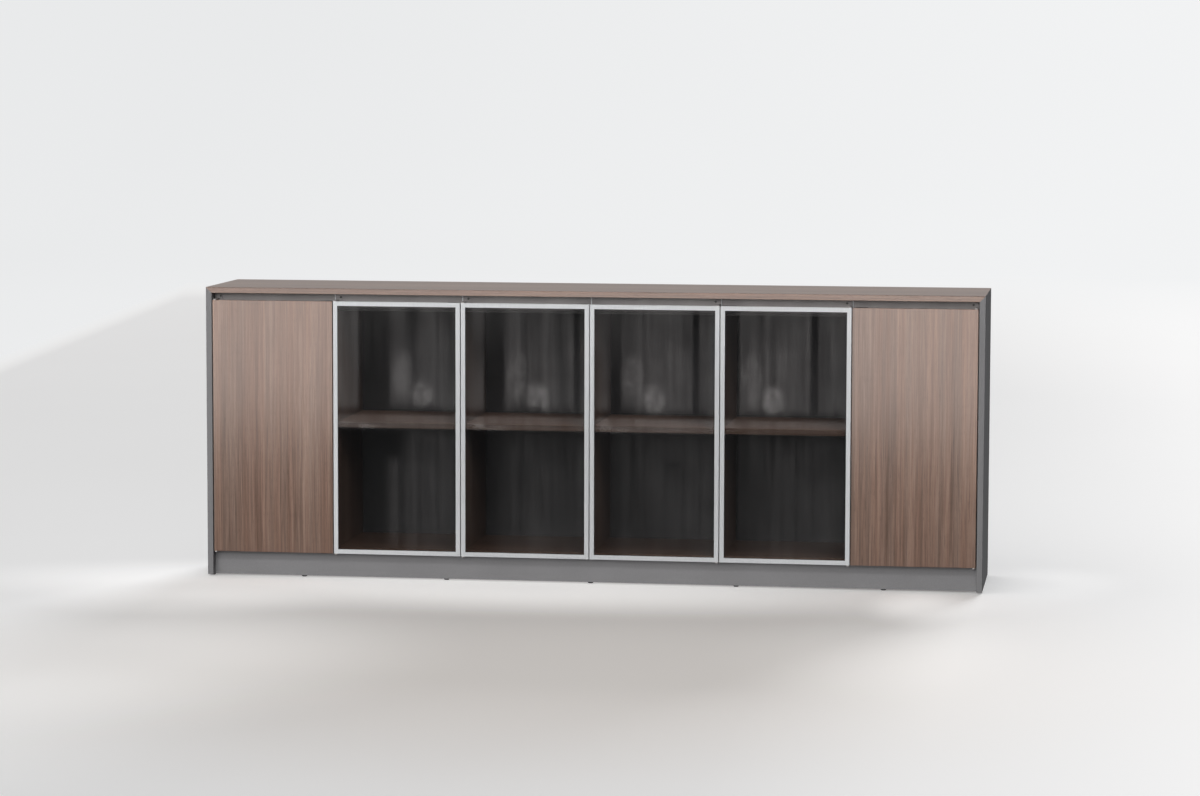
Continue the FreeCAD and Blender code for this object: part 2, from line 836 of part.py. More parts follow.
for door in doors:
    if door.glazed:
        save(door.name + "_frame", make_frame(door))
        save(door.name + "_glass", [make_glass(door)])
        save(door.name + "_gasket", [make_gasket(door)])
        save(door.name + "_corner_fittings", make_corner_keys(door) + pivot_bushes(door))
    else:
        save(door.name + "_panel", [make_wood_door(door)])
        save(door.name + "_pivot_bushes", pivot_bushes(door))
    save(door.name + "_strike_plate", [make_strike_plate(door)])
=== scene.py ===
import json
import math

import bmesh
import bpy
from mathutils import Matrix, Vector

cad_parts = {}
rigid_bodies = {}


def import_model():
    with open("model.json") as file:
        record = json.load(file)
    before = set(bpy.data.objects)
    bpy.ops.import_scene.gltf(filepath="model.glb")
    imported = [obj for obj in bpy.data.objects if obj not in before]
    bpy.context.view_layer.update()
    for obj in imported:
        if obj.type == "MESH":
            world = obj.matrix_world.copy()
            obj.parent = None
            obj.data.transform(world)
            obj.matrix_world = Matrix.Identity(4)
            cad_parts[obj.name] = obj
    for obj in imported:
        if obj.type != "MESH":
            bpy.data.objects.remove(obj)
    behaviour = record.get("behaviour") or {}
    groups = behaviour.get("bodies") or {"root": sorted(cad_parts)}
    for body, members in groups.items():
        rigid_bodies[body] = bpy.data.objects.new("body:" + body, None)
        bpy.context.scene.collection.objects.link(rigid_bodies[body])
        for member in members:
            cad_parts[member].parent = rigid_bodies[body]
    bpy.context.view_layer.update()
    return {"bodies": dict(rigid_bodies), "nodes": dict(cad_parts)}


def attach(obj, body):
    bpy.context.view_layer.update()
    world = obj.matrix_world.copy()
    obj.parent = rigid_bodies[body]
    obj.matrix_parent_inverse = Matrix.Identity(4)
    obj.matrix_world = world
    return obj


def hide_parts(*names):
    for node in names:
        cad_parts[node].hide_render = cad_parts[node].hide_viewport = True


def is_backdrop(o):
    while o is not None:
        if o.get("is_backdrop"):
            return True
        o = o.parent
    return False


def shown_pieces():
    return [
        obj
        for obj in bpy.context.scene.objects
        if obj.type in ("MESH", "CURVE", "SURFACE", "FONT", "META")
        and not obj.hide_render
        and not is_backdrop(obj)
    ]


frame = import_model()
nodes = frame["nodes"]
mm = 0.001
doorNames = sorted(b for b in frame["bodies"] if b.startswith("door_"))
glazedDoors = [d for d in doorNames if d + "_glass" in nodes]
woodDoors = [d for d in doorNames if d + "_panel" in nodes]
print("frame:", len(nodes), "nodes,", len(doorNames), "doors")


# Shader wiring


def screen(red, green, blue):  # a colour as a screen shows it, 0 to 255, made scene colour
    parts = [c / 255.0 for c in (red, green, blue)]
    return tuple(c / 12.92 if c < 0.04045 else ((c + 0.055) / 1.055) ** 2.4 for c in parts) + (1.0,)


class Finish:
    def __init__(self, name, **fixed):
        self.material = bpy.data.materials.new(name)
        self.material.use_nodes = True
        self.tree = self.material.node_tree
        self.shader = next(n for n in self.tree.nodes if n.type == "BSDF_PRINCIPLED")
        for key, value in fixed.items():
            self.shader.inputs[key.replace("_", " ")].default_value = value
        self.place = self.node("ShaderNodeTexCoord").outputs["Object"]

    def node(self, kind, **settings):
        made = self.tree.nodes.new(kind)
        for key, value in settings.items():
            setattr(made, key, value)
        return made

    def feed(self, socket, value):
        if isinstance(value, bpy.types.NodeSocket):
            self.tree.links.new(value, socket)
        else:
            socket.default_value = value

    def scaled(self, scale, place=None):
        mapping = self.node("ShaderNodeMapping")
        self.feed(mapping.inputs["Vector"], place or self.place)
        self.feed(mapping.inputs["Scale"], scale)
        return mapping.outputs["Vector"]

    def noise(self, scale, detail=3.0, rough=0.5, place=None, output="Fac"):
        noise = self.node("ShaderNodeTexNoise")
        self.feed(noise.inputs["Vector"], self.scaled(scale, place))
        self.feed(noise.inputs["Scale"], 1.0)
        self.feed(noise.inputs["Detail"], detail)
        self.feed(noise.inputs["Roughness"], rough)
        return noise.outputs[output]

    def cells(self, scale, feature="F1", output="Distance"):
        cells = self.node("ShaderNodeTexVoronoi", feature=feature)
        self.feed(cells.inputs["Vector"], self.scaled(scale))
        self.feed(cells.inputs["Scale"], 1.0)
        return cells.outputs[output]

    def drifted(self, scale, amount):  # coordinates that wander a little, so that the grain isn't ruled
        colour = self.noise(scale, detail=2.0, output="Color")
        centred = self.vector("SUBTRACT", colour, (0.5, 0.5, 0.5))
        return self.vector("ADD", self.place, self.vector("MULTIPLY", centred, amount))

    def vector(self, operation, a, b):
        maths = self.node("ShaderNodeVectorMath", operation=operation)
        self.feed(maths.inputs[0], a)
        self.feed(maths.inputs[1], b)
        return maths.outputs["Vector"]

    def axis(self, name):
        split = self.node("ShaderNodeSeparateXYZ")
        self.feed(split.inputs["Vector"], self.place)
        return split.outputs[name]

    def maths(self, operation, a, b=0.0):
        maths = self.node("ShaderNodeMath", operation=operation)
        self.feed(maths.inputs[0], a)
        self.feed(maths.inputs[1], b)
        return maths.outputs["Value"]

    def span(self, value, low, high, toLow=0.0, toHigh=1.0):
        span = self.node("ShaderNodeMapRange")
        for socket, given in zip(span.inputs, (value, low, high, toLow, toHigh)):
            self.feed(socket, given)
        return span.outputs["Result"]

    def ramp(self, value, *stops):
        ramp = self.node("ShaderNodeValToRGB")
        points = ramp.color_ramp.elements
        while len(points) < len(stops):
            points.new(1.0)
        for point, (at, colour) in zip(points, stops):
            point.position = at
            point.color = colour
        self.feed(ramp.inputs["Fac"], value)
        return ramp.outputs["Color"]

    def blend(self, share, a, b, way="MIX"):
        mix = self.node("ShaderNodeMix", data_type="RGBA", blend_type=way)
        self.feed(mix.inputs["Factor"], share)
        colours = [s for s in mix.inputs if s.type == "RGBA"]
        self.feed(colours[0], a)
        self.feed(colours[1], b)
        return next(s for s in mix.outputs if s.type == "RGBA")

    def mixed(self, parts):  # the sum of noises, each by its share
        total = None
        for value, share in parts:
            value = self.maths("MULTIPLY", value, share)
            total = value if total is None else self.maths("ADD", total, value)
        return total

    def shaded(self, where, colour, shade):  # darker there, by the shade
        return self.blend(where, colour, self.blend(1.0, colour, (shade,) * 3 + (1.0,), "MULTIPLY"))

    def colour(self, value):
        self.feed(self.shader.inputs["Base Color"], value)

    def roughness(self, value):
        self.feed(self.shader.inputs["Roughness"], value)

    def relief(self, height, depth, strength=1.0):
        bump = self.node("ShaderNodeBump")
        self.feed(bump.inputs["Height"], height)
        self.feed(bump.inputs["Distance"], depth)
        self.feed(bump.inputs["Strength"], strength)
        self.feed(self.shader.inputs["Normal"], bump.outputs["Normal"])


bulk = (0.3, 0.7)  # where most of a noise's values lie


def lengthwise(along, across, length):  # a noise scale, per metre: stretched along one axis
    return tuple(length if name == along else across for name in "xyz")


# Finishes

walnut = {  # noise scales are across and along the grain, per metre
    "dark": screen(77, 58, 48),
    "middle": screen(103.5, 80.5, 68),
    "light": screen(126, 103, 90),
    "stops": (0.38, 0.5, 0.62),
    # the shelves' front edges are drawn darker by this share: painted shade
    "bandShade": 0.42,
    "reddish": (1.035, 0.985, 0.955, 1.0),
    "greyish": (0.965, 1.005, 1.03, 1.0),
    "fleckShade": 0.62,
    "flecks": (0.6, 0.68),
    "lensShade": 0.7,
    "lenses": (0.63, 0.75),
    "roughness": (0.28, 0.36),
    "wander": (5.0, 1.4),
    "wanderReach": 0.012,
    "bands": (15.0, 0.35),
    "streaks": (105.0, 1.3),
    "threads": (520.0, 7.0),
    "hues": (42.0, 0.7),
    "lensGrain": (230.0, 9.0),
    "pores": (1300.0, 38.0),
    "shares": (0.26, 0.42, 0.32),  # of bands, streaks and threads in the tone
    "relief": 0.05 * mm,
}


def walnutLaminate(name, along, shade=1.0):
    made = Finish(name)
    w = walnut
    reach = tuple(0.0 if a == along else w["wanderReach"] for a in "xyz")
    wander = made.drifted(lengthwise(along, *w["wander"]), reach)
    bands = made.noise(lengthwise(along, *w["bands"]), 2.0, 0.5, wander)
    streaks = made.noise(lengthwise(along, *w["streaks"]), 5.0, 0.62, wander)
    threads = made.noise(lengthwise(along, *w["threads"]), 3.0, 0.6, wander)
    pores = made.noise(lengthwise(along, *w["pores"]), 2.0, 0.5)
    tone = made.mixed(zip((bands, streaks, threads), w["shares"]))
    tones = [tuple(c * shade for c in w[k][:3]) + (1.0,) for k in ("dark", "middle", "light")]
    grain = made.ramp(tone, *zip(w["stops"], tones))
    hue = made.span(made.noise(lengthwise(along, *w["hues"]), 3.0, 0.6, wander), 0.38, 0.62)
    grain = made.blend(1.0, grain, made.blend(hue, w["greyish"], w["reddish"]), "MULTIPLY")
    lens = made.span(made.noise(lengthwise(along, *w["lensGrain"]), 2.0, 0.5, wander), *w["lenses"])
    grain = made.shaded(lens, grain, w["lensShade"])
    fleck = made.span(pores, *w["flecks"])
    made.colour(made.shaded(fleck, grain, w["fleckShade"]))
    made.roughness(made.span(streaks, *bulk, *w["roughness"]))
    height = made.maths("SUBTRACT", made.maths("MULTIPLY", threads, 0.6), fleck)
    made.relief(height, w["relief"], 0.5)
    return made.material


grey = {"dark": screen(114, 113, 114), "light": screen(128, 127, 128), "roughness": (0.52, 0.62)}
# the side panels take a darker copy of the grey laminate: painted shade
sideGrey = {"dark": screen(108, 107, 108), "light": screen(121, 120, 121), "roughness": (0.52, 0.62)}
graphite = {"dark": screen(78, 78, 79), "light": screen(93, 92, 93), "roughness": (0.5, 0.62)}


def plainLaminate(name, tones):
    made = Finish(name, Specular_IOR_Level=0.2)
    patches = made.noise((5.0, 5.0, 5.0), 3.0)
    specks = made.noise((1100.0, 1100.0, 1100.0), 2.0)
    tone = made.mixed(((patches, 0.25), (specks, 0.75)))
    made.colour(made.ramp(tone, (0.38, tones["dark"]), (0.62, tones["light"])))
    made.roughness(made.span(patches, *bulk, *tones["roughness"]))
    made.relief(made.noise((600.0, 600.0, 600.0), 2.0), 0.02 * mm, 0.2)
    return made.material


anodised = {
    "dark": (0.78, 0.79, 0.81, 1.0),
    "light": (0.95, 0.96, 0.97, 1.0),
    "roughness": (0.34, 0.46),
    "metal": 0.7,
    "relief": 0.012 * mm,
}


def satinAluminium(name, along):
    made = Finish(name, Metallic=anodised["metal"])
    lines = made.noise(lengthwise(along, 2600.0, 9.0), 3.0, 0.6)
    broad = made.noise(lengthwise(along, 420.0, 2.5), 2.0)
    tone = made.mixed(((lines, 0.7), (broad, 0.3)))
    made.colour(made.ramp(tone, (0.3, anodised["dark"]), (0.7, anodised["light"])))
    made.roughness(made.span(lines, *bulk, *anodised["roughness"]))
    made.relief(lines, anodised["relief"], 0.6)
    return made.material


powderCoat = {"dark": screen(142, 137, 136), "light": screen(163, 158, 157), "roughness": (0.4, 0.52)}
# a darker copy of the powder coat: painted shade on the recess's lip, and the dark coat of the bracket screws
# and hinge pins
darkPaintTonesAndLipShade = {"dark": screen(66, 64, 63), "light": screen(80, 78, 77), "roughness": (0.4, 0.52)}


def coatedMetal(name, tones):
    made = Finish(name)
    peel = made.noise((900.0, 900.0, 900.0), 2.0)
    patches = made.noise((12.0, 12.0, 12.0), 2.0)
    tone = made.mixed(((peel, 0.5), (patches, 0.5)))
    made.colour(made.ramp(tone, (0.35, tones["dark"]), (0.65, tones["light"])))
    made.roughness(made.span(peel, *bulk, *tones["roughness"]))
    made.relief(peel, 0.03 * mm, 0.7)
    return made.material


smoked = {
    "tint": (0.007, 0.0073, 0.0078, 1.0),
    "paler": (0.0091, 0.00949, 0.01014, 1.0),
    "opacity": 0.3,
    "roughness": (0.035, 0.055),
    "index": 1.9,
}


def smokedGlass(name):
    made = Finish(name, Alpha=smoked["opacity"], IOR=smoked["index"])
    haze = made.noise((7.0, 7.0, 7.0), 4.0)
    made.colour(made.ramp(haze, (0.3, smoked["tint"]), (0.8, smoked["paler"])))
    made.roughness(made.span(haze, 0.35, 0.75, *smoked["roughness"]))
    return made.material


zinc = {"dark": (0.46, 0.46, 0.47, 1.0), "light": (0.74, 0.74, 0.75, 1.0), "roughness": (0.24, 0.42)}


def zincSteel(name):
    made = Finish(name, Metallic=1.0)
    spangle = made.cells((420.0, 420.0, 420.0))
    wipe = made.noise((900.0, 900.0, 260.0), 3.0)
    tone = made.mixed(((spangle, 0.4), (wipe, 0.6)))
    made.colour(made.ramp(tone, (0.25, zinc["dark"]), (0.7, zinc["light"])))
    made.roughness(made.span(wipe, *bulk, *zinc["roughness"]))
    made.relief(wipe, 0.01 * mm, 0.5)
    return made.material


ferrite = {"dark": (0.16, 0.16, 0.17, 1.0), "light": (0.26, 0.26, 0.27, 1.0), "roughness": (0.35, 0.55)}


def darkMagnet(name):
    made = Finish(name, Metallic=1.0)
    grain = made.noise((700.0, 700.0, 700.0), 3.0)
    made.colour(made.ramp(grain, (0.35, ferrite["dark"]), (0.65, ferrite["light"])))
    made.roughness(made.span(grain, *bulk, *ferrite["roughness"]))
    made.relief(grain, 0.02 * mm, 0.5)
    return made.material


plastics = {  # dark, light, roughness
    "blackPlastic": ((0.018, 0.018, 0.019, 1), (0.03, 0.03, 0.032, 1), (0.4, 0.55)),
    "nylon": ((0.62, 0.61, 0.57, 1), (0.72, 0.71, 0.67, 1), (0.36, 0.5)),
    "gasketRubber": ((0.014, 0.014, 0.014, 1), (0.024, 0.024, 0.024, 1), (0.6, 0.75)),
    "bumperRubber": ((0.5, 0.5, 0.48, 1), (0.62, 0.62, 0.6, 1), (0.25, 0.35)),
}


def mouldedPlastic(name, **fixed):
    dark, light, roughness = plastics[name]
    made = Finish(name, **fixed)
    flow = made.noise((60.0, 60.0, 60.0), 3.0)
    texture = made.noise((2200.0, 2200.0, 2200.0), 2.0)
    made.colour(made.ramp(flow, (0.3, dark), (0.7, light)))
    made.roughness(made.span(texture, *bulk, *roughness))
    made.relief(texture, 0.02 * mm, 0.5)
    return made.material


beech = {
    "dark": (0.5, 0.33, 0.19, 1.0),
    "light": (0.72, 0.53, 0.34, 1.0),
    "rays": (0.36, 0.21, 0.11, 1.0),
    "roughness": (0.55, 0.7),
}


def beechWood(name):
    made = Finish(name)
    threads = made.noise((700.0, 700.0, 60.0), 3.0)
    rays = made.noise((1500.0, 1500.0, 300.0), 2.0)
    grain = made.ramp(threads, (0.35, beech["dark"]), (0.65, beech["light"]))
    made.colour(made.blend(made.span(rays, 0.6, 0.68), grain, beech["rays"]))
    made.roughness(made.span(threads, *bulk, *beech["roughness"]))
    made.relief(threads, 0.05 * mm, 0.5)
    return made.material


finishes = {
    "walnutUpright": walnutLaminate("walnutUpright", "z"),
    "walnutLevel": walnutLaminate("walnutLevel", "x"),
    # a darker copy of the walnut, for the shelves' front edges: painted shade
    "edgeBand": walnutLaminate("walnutEdgeBand", "x", walnut["bandShade"]),
    "grey": plainLaminate("greyLaminate", grey),
    "sideGrey": plainLaminate("sideGreyLaminate", sideGrey),
    "graphite": plainLaminate("graphiteLaminate", graphite),
    "aluminiumUpright": satinAluminium("aluminiumUpright", "z"),
    "aluminiumLevel": satinAluminium("aluminiumLevel", "x"),
    "coated": coatedMetal("coatedMetal", powderCoat),
    "coatedDark": coatedMetal("coatedMetalDark", darkPaintTonesAndLipShade),
    "glass": smokedGlass("smokedGlass"),
    "steel": zincSteel("zincSteel"),
    "magnet": darkMagnet("darkMagnet"),
    "black": mouldedPlastic("blackPlastic"),
    "nylon": mouldedPlastic("nylon"),
    "clip": satinAluminium("brightClip", "z"),
    "gasket": mouldedPlastic("gasketRubber"),
    "bumper": mouldedPlastic("bumperRubber", Alpha=0.8),
    "beech": beechWood("beechDowel"),
}
print("finishes:", len(finishes))


# Mesh building


def meshFrom(name, bm):
    mesh = bpy.data.meshes.new(name)
    bm.to_mesh(mesh)
    bm.free()
    return mesh


def linked(name, data):
    made = bpy.data.objects.new(name, data)
    bpy.context.scene.collection.objects.link(made)
    return made


def dressed(name, mesh, used):
    made = linked(name, mesh)
    if mesh.materials:
        mesh.materials.clear()  # clearing sets every face back to the first finish
    for finish in used:
        mesh.materials.append(finishes[finish])
    return made


def pieceName(node):  # top_panel becomes topPanel
    first, *rest = node.split("_")
    return first + "".join(word.capitalize() for word in rest)


def settle(piece, body, node):  # says what a finished piece rides on, and hides the CAD node it stands for
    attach(piece, body)
    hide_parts(node)


def islands(bm):  # the separate solids of a mesh, each a list of faces
    bm.faces.ensure_lookup_table()
    seen = set()
    found = []
    for start in bm.faces:
        if start.index in seen:
            continue
        seen.add(start.index)
        group = [start]
        for face in group:
            for edge in face.edges:
                for other in edge.link_faces:
                    if other.index not in seen:
                        seen.add(other.index)
                        group.append(other)
        found.append(group)
    return found


def corners(faces):
    points = [v.co for f in faces for v in f.verts]
    low = Vector(min(p[i] for p in points) for i in range(3))
    high = Vector(max(p[i] for p in points) for i in range(3))
    return low, high


def merged(node):  # a copy of a CAD node, as clean faces
    bm = bmesh.new()
    bm.from_mesh(nodes[node].data)
    bmesh.ops.remove_doubles(bm, verts=bm.verts[:], dist=0.002 * mm)
    bm.faces.index_update()
    return bm


def solidsOf(node):  # the box of each solid of a CAD node, in a fixed order
    bm = merged(node)
    boxes = [corners(group) for group in islands(bm)]
    bm.free()
    return sorted(boxes, key=lambda b: [round(v, 5) for v in (*b[0], *b[1])])


bandSeam = {"thick": 1.0 * mm, "width": 0.12 * mm, "deep": 0.08 * mm, "smallestFace": 0.02}


def cutBandSeams(bm):  # the fine joint between a board's face and the band round its edges
    for face in [f for f in bm.faces if f.calc_area() > bandSeam["smallestFace"]]:
        half = bandSeam["width"] / 2
        bmesh.ops.inset_region(bm, faces=[face], thickness=bandSeam["thick"] - half, depth=0.0)
        bmesh.ops.inset_region(bm, faces=[face], thickness=half, depth=-bandSeam["deep"])
        bmesh.ops.inset_region(bm, faces=[face], thickness=half, depth=bandSeam["deep"])


def putInOrder(bm):  # insets leave a mesh in another order each run
    def spots(item):
        return sorted(tuple(v.co) for v in getattr(item, "verts", [item]))

    for items in (bm.verts, bm.edges, bm.faces):
        ranks = {item: rank for rank, item in enumerate(sorted(items, key=spots))}
        items.sort(key=ranks.get)


easing = {"ease": 0.35 * mm, "shortest": 5 * mm, "sharp": 32.0, "flat": 0.4, "steps": 2}  # angles in degrees


def refined(node, used, ease=easing["ease"], shortest=easing["shortest"], choose=None, seams=False):
    bm = merged(node)
    low, high = corners(bm.faces)
    flat = math.radians(easing["flat"])
    bmesh.ops.dissolve_limit(bm, angle_limit=flat, verts=bm.verts[:], edges=bm.edges[:])
    bm.normal_update()
    bm.faces.index_update()
    if choose:
        for group in islands(bm):
            box = corners(group)
            for face in group:
                face.material_index = choose(*box, face)
    sharp = [e for e in bm.edges if len(e.link_faces) == 2 and e.calc_length() > shortest
             and e.calc_face_angle(0.0) > math.radians(easing["sharp"])]
    eased = bmesh.ops.bevel(bm, geom=sharp, offset=ease, offset_type="OFFSET", segments=easing["steps"],
                            profile=0.5, affect="EDGES", clamp_overlap=True)
    for face in eased["faces"]:
        face.smooth = True
    for v in bm.verts:  # an eased corner stays inside the CAD piece's box
        v.co = [min(max(v.co[i], low[i]), high[i]) for i in range(3)]
    if seams:
        cutBandSeams(bm)
        putInOrder(bm)
    mesh = meshFrom(pieceName(node), bm)
    stale = mesh.attributes.get("custom_normal")
    if stale:
        mesh.attributes.remove(stale)
    return dressed(mesh.name, mesh, used)


# Templates for what repeats. Each is one unit in radius and height, and its outer end is at the top.


def addLathe(bm, profile, sides):  # (radius, height) pairs turned round Z
    rings = []
    for radius, height in profile:
        turns = [2 * math.pi * k / sides for k in range(sides)] if radius else [0.0]
        rings.append([bm.verts.new((radius * math.cos(t), radius * math.sin(t), height)) for t in turns])
    for low, high in zip(rings, rings[1:]):
        for k in range(sides):
            j = (k + 1) % sides
            ring = [low[k % len(low)], low[j % len(low)], high[j % len(high)], high[k % len(high)]]
            flat = abs(low[0].co.z - high[0].co.z) < 1e-6
            bm.faces.new(list(dict.fromkeys(ring))).smooth = not flat
    return rings


def turnedTemplate(name, profile, sides, recess=None):
    bm = bmesh.new()
    rings = addLathe(bm, profile, sides)
    if recess:
        cutCross(bm, rings[-1], profile[-1][1], *recess)
    bmesh.ops.recalc_face_normals(bm, faces=bm.faces[:])
    return linked(name, meshFrom(name, bm))


def cutCross(bm, ring, top, arm, halfWidth, deep, taper):  # a cross recess in the face inside a ring
    outline = []
    for k in range(4):
        turn = math.pi / 2 * k
        for x, y in ((arm, -halfWidth), (arm, halfWidth), (halfWidth, halfWidth)):
            outline.append((x * math.cos(turn) - y * math.sin(turn), x * math.sin(turn) + y * math.cos(turn)))
    mouth = [bm.verts.new((x, y, top)) for x, y in outline]
    root = [bm.verts.new((x * taper, y * taper, top - deep)) for x, y in outline]
    count = len(mouth)
    for k in range(count):
        bm.faces.new((mouth[k], mouth[(k + 1) % count], root[(k + 1) % count], root[k]))
    bm.faces.new(root)
    edges = [bm.edges.get((loop[k], loop[(k + 1) % len(loop)]))
             for loop in (ring, mouth) for k in range(len(loop))]
    bmesh.ops.triangle_fill(bm, use_beauty=True, use_dissolve=False, edges=edges)


# Geometry Nodes trees. Points carry which way a piece's outer end faces, and how long it is.


def adder(tree):
    def add(kind, **given):
        made = tree.nodes.new(kind)
        for key, value in given.items():
            setattr(made, key, value)
        return made

    return add


def newTree(name, inputs):
    tree = bpy.data.node_groups.new(name, "GeometryNodeTree")
    for label, kind in inputs:
        tree.interface.new_socket(label, in_out="INPUT", socket_type="NodeSocket" + kind)
    tree.interface.new_socket("Geometry", in_out="OUTPUT", socket_type="NodeSocketGeometry")

    def join(source, target):
        tree.links.new(source, target)

    return tree, adder(tree), join


def facedRotation(add, join, given):  # the local Z along "facing", with a random turn about it
    facing = add("GeometryNodeInputNamedAttribute", data_type="FLOAT_VECTOR")
    facing.inputs["Name"].default_value = "facing"
    align = add("FunctionNodeAlignRotationToVector", axis="Z")
    join(facing.outputs["Attribute"], align.inputs["Vector"])
    chance = add("FunctionNodeRandomValue", data_type="FLOAT")
    low, high = [i for i in chance.inputs if i.name in ("Min", "Max") and i.type == "VALUE"][:2]
    low.default_value = 0.0
    join(given.outputs["turn"], high)
    join(given.outputs["seed"], chance.inputs["Seed"])
    about = add("FunctionNodeAxisAngleToRotation")
    about.inputs["Axis"].default_value = (0, 0, 1)
    join(next(o for o in chance.outputs if o.type == "VALUE"), about.inputs["Angle"])
    turned = add("FunctionNodeRotateRotation", rotation_space="LOCAL")
    join(align.outputs["Rotation"], turned.inputs["Rotation"])
    join(about.outputs["Rotation"], turned.inputs["Rotate By"])
    return facing.outputs["Attribute"], turned.outputs["Rotation"]


def finishTree(add, join, given, instances):  # made real, and painted
    solid, paint = add("GeometryNodeRealizeInstances"), add("GeometryNodeSetMaterial")
    join(instances, solid.inputs["Geometry"])
    join(solid.outputs["Geometry"], paint.inputs["Geometry"])
    join(given.outputs["finish"], paint.inputs["Material"])
    join(paint.outputs["Geometry"], add("NodeGroupOutput").inputs["Geometry"])


def studTree():  # whole pieces: a template as wide as radius and as high as height
    tree, add, join = newTree("studs", (
        ("Geometry", "Geometry"), ("shape", "Object"), ("radius", "Float"), ("height", "Float"),
        ("turn", "Float"), ("seed", "Int"), ("finish", "Material")))
    given = add("NodeGroupInput")
    _, rotation = facedRotation(add, join, given)
    shape = add("GeometryNodeObjectInfo", transform_space="ORIGINAL")
    join(given.outputs["shape"], shape.inputs["Object"])
    scale = add("ShaderNodeCombineXYZ")
    for source, axis in (("radius", "X"), ("radius", "Y"), ("height", "Z")):
        join(given.outputs[source], scale.inputs[axis])
    place = add("GeometryNodeInstanceOnPoints")
    join(given.outputs["Geometry"], place.inputs["Points"])
    join(shape.outputs["Geometry"], place.inputs["Instance"])
    join(rotation, place.inputs["Rotation"])
    join(scale.outputs["Vector"], place.inputs["Scale"])
    finishTree(add, join, given, place.outputs["Instances"])
    return tree


def screwTree():  # heads from a template, and plain shanks of each point's own length behind them
    tree, add, join = newTree("screws", (
        ("Geometry", "Geometry"), ("shape", "Object"), ("headRadius", "Float"), ("headDepth", "Float"),
        ("shankRadius", "Float"), ("turn", "Float"), ("seed", "Int"), ("finish", "Material")))
    given = add("NodeGroupInput")
    facing, rotation = facedRotation(add, join, given)
    shape = add("GeometryNodeObjectInfo", transform_space="ORIGINAL")
    join(given.outputs["shape"], shape.inputs["Object"])
    heads = add("GeometryNodeInstanceOnPoints")
    join(given.outputs["Geometry"], heads.inputs["Points"])
    join(shape.outputs["Geometry"], heads.inputs["Instance"])
    join(rotation, heads.inputs["Rotation"])
    join(given.outputs["headRadius"], heads.inputs["Scale"])
    back = add("ShaderNodeMath", operation="MULTIPLY")
    join(given.outputs["headDepth"], back.inputs[0])
    back.inputs[1].default_value = -1.0
    sunk = add("ShaderNodeVectorMath", operation="SCALE")
    join(facing, sunk.inputs["Vector"])
    join(back.outputs["Value"], sunk.inputs["Scale"])
    moved = add("GeometryNodeSetPosition")
    join(given.outputs["Geometry"], moved.inputs["Geometry"])
    join(sunk.outputs["Vector"], moved.inputs["Offset"])
    rod = add("GeometryNodeMeshCylinder")
    rod.inputs["Vertices"].default_value = fixings["shankSides"]
    rod.inputs["Depth"].default_value = 1.0
    join(given.outputs["shankRadius"], rod.inputs["Radius"])
    hung = add("GeometryNodeTransform")
    hung.inputs["Translation"].default_value = (0, 0, -0.5)
    join(rod.outputs["Mesh"], hung.inputs["Geometry"])
    length = add("GeometryNodeInputNamedAttribute", data_type="FLOAT")
    length.inputs["Name"].default_value = "length"
    scale = add("ShaderNodeCombineXYZ")
    scale.inputs["X"].default_value = scale.inputs["Y"].default_value = 1.0
    join(length.outputs["Attribute"], scale.inputs["Z"])
    shanks = add("GeometryNodeInstanceOnPoints")
    join(moved.outputs["Geometry"], shanks.inputs["Points"])
    join(hung.outputs["Geometry"], shanks.inputs["Instance"])
    join(rotation, shanks.inputs["Rotation"])
    join(scale.outputs["Vector"], shanks.inputs["Scale"])
    both = add("GeometryNodeJoinGeometry")
    join(heads.outputs["Instances"], both.inputs["Geometry"])
    join(shanks.outputs["Instances"], both.inputs["Geometry"])
    finishTree(add, join, given, both.outputs["Geometry"])
    return tree


def spread(name, tree, spots, finish, **given):  # spots: (place, facing, length) for each piece
    mesh = bpy.data.meshes.new(name + "Points")
    mesh.from_pydata([s[0] for s in spots], [], [])
    mesh.attributes.new("facing", "FLOAT_VECTOR", "POINT")
    mesh.attributes.new("length", "FLOAT", "POINT")
    for i, (_, way, long) in enumerate(spots):
        mesh.attributes["facing"].data[i].vector = way
        mesh.attributes["length"].data[i].value = long
    carrier = linked(mesh.name, mesh)
    modifier = carrier.modifiers.new("spread", "NODES")
    modifier.node_group = tree
    given["finish"] = finishes[finish]
    for socket in tree.interface.items_tree:
        if socket.in_out == "INPUT" and socket.name in given:
            modifier[socket.identifier] = given[socket.name]
    bpy.context.view_layer.update()
    evaluated = carrier.evaluated_get(bpy.context.evaluated_depsgraph_get())
    result = bpy.data.meshes.new_from_object(evaluated)
    bpy.data.objects.remove(carrier)
    return dressed(name, result, [finish])


# Boards


boards = {  # finish and slot
    "top_panel": ("walnutLevel", "walnut_laminate"),
    "bottom_panel": ("walnutLevel", "walnut_laminate"),
    "side_panel_left": ("sideGrey", "grey_laminate"),
    "side_panel_right": ("sideGrey", "grey_laminate"),
    "plinth_front_board": ("grey", "grey_laminate"),
    "plinth_rear_board": ("grey", "grey_laminate"),
    "plinth_braces": ("grey", "grey_laminate"),
    "back_panel_left": ("graphite", "grey_laminate"),
    "back_panel_middle": ("graphite", "grey_laminate"),
    "back_panel_right": ("graphite", "grey_laminate"),
}
for n in range(1, 6):
    boards["divider_%d" % n] = ("walnutUpright", "walnut_laminate")
for n in range(1, 7):
    boards["shelf_%d" % n] = ("walnutLevel", "walnut_laminate")


def shelfFinish(low, high, face):  # the front edge has its own band, a darker copy of the walnut as painted shade
    return int(face.normal.y < -0.9)


for node, (finish, slot) in boards.items():
    if node.startswith("shelf"):
        board = refined(node, [finish, "edgeBand"], choose=shelfFinish, seams=True)
    else:
        board = refined(node, [finish])
    settle(board, "carcass", node)
for door in woodDoors:
    node = door + "_panel"
    settle(refined(node, ["walnutUpright"], seams=True), door, node)
print("boards:", len(boards) + len(woodDoors))


# Glazed doors


def memberFinish(low, high, face):
    return 0 if high.z - low.z > high.x - low.x else 1


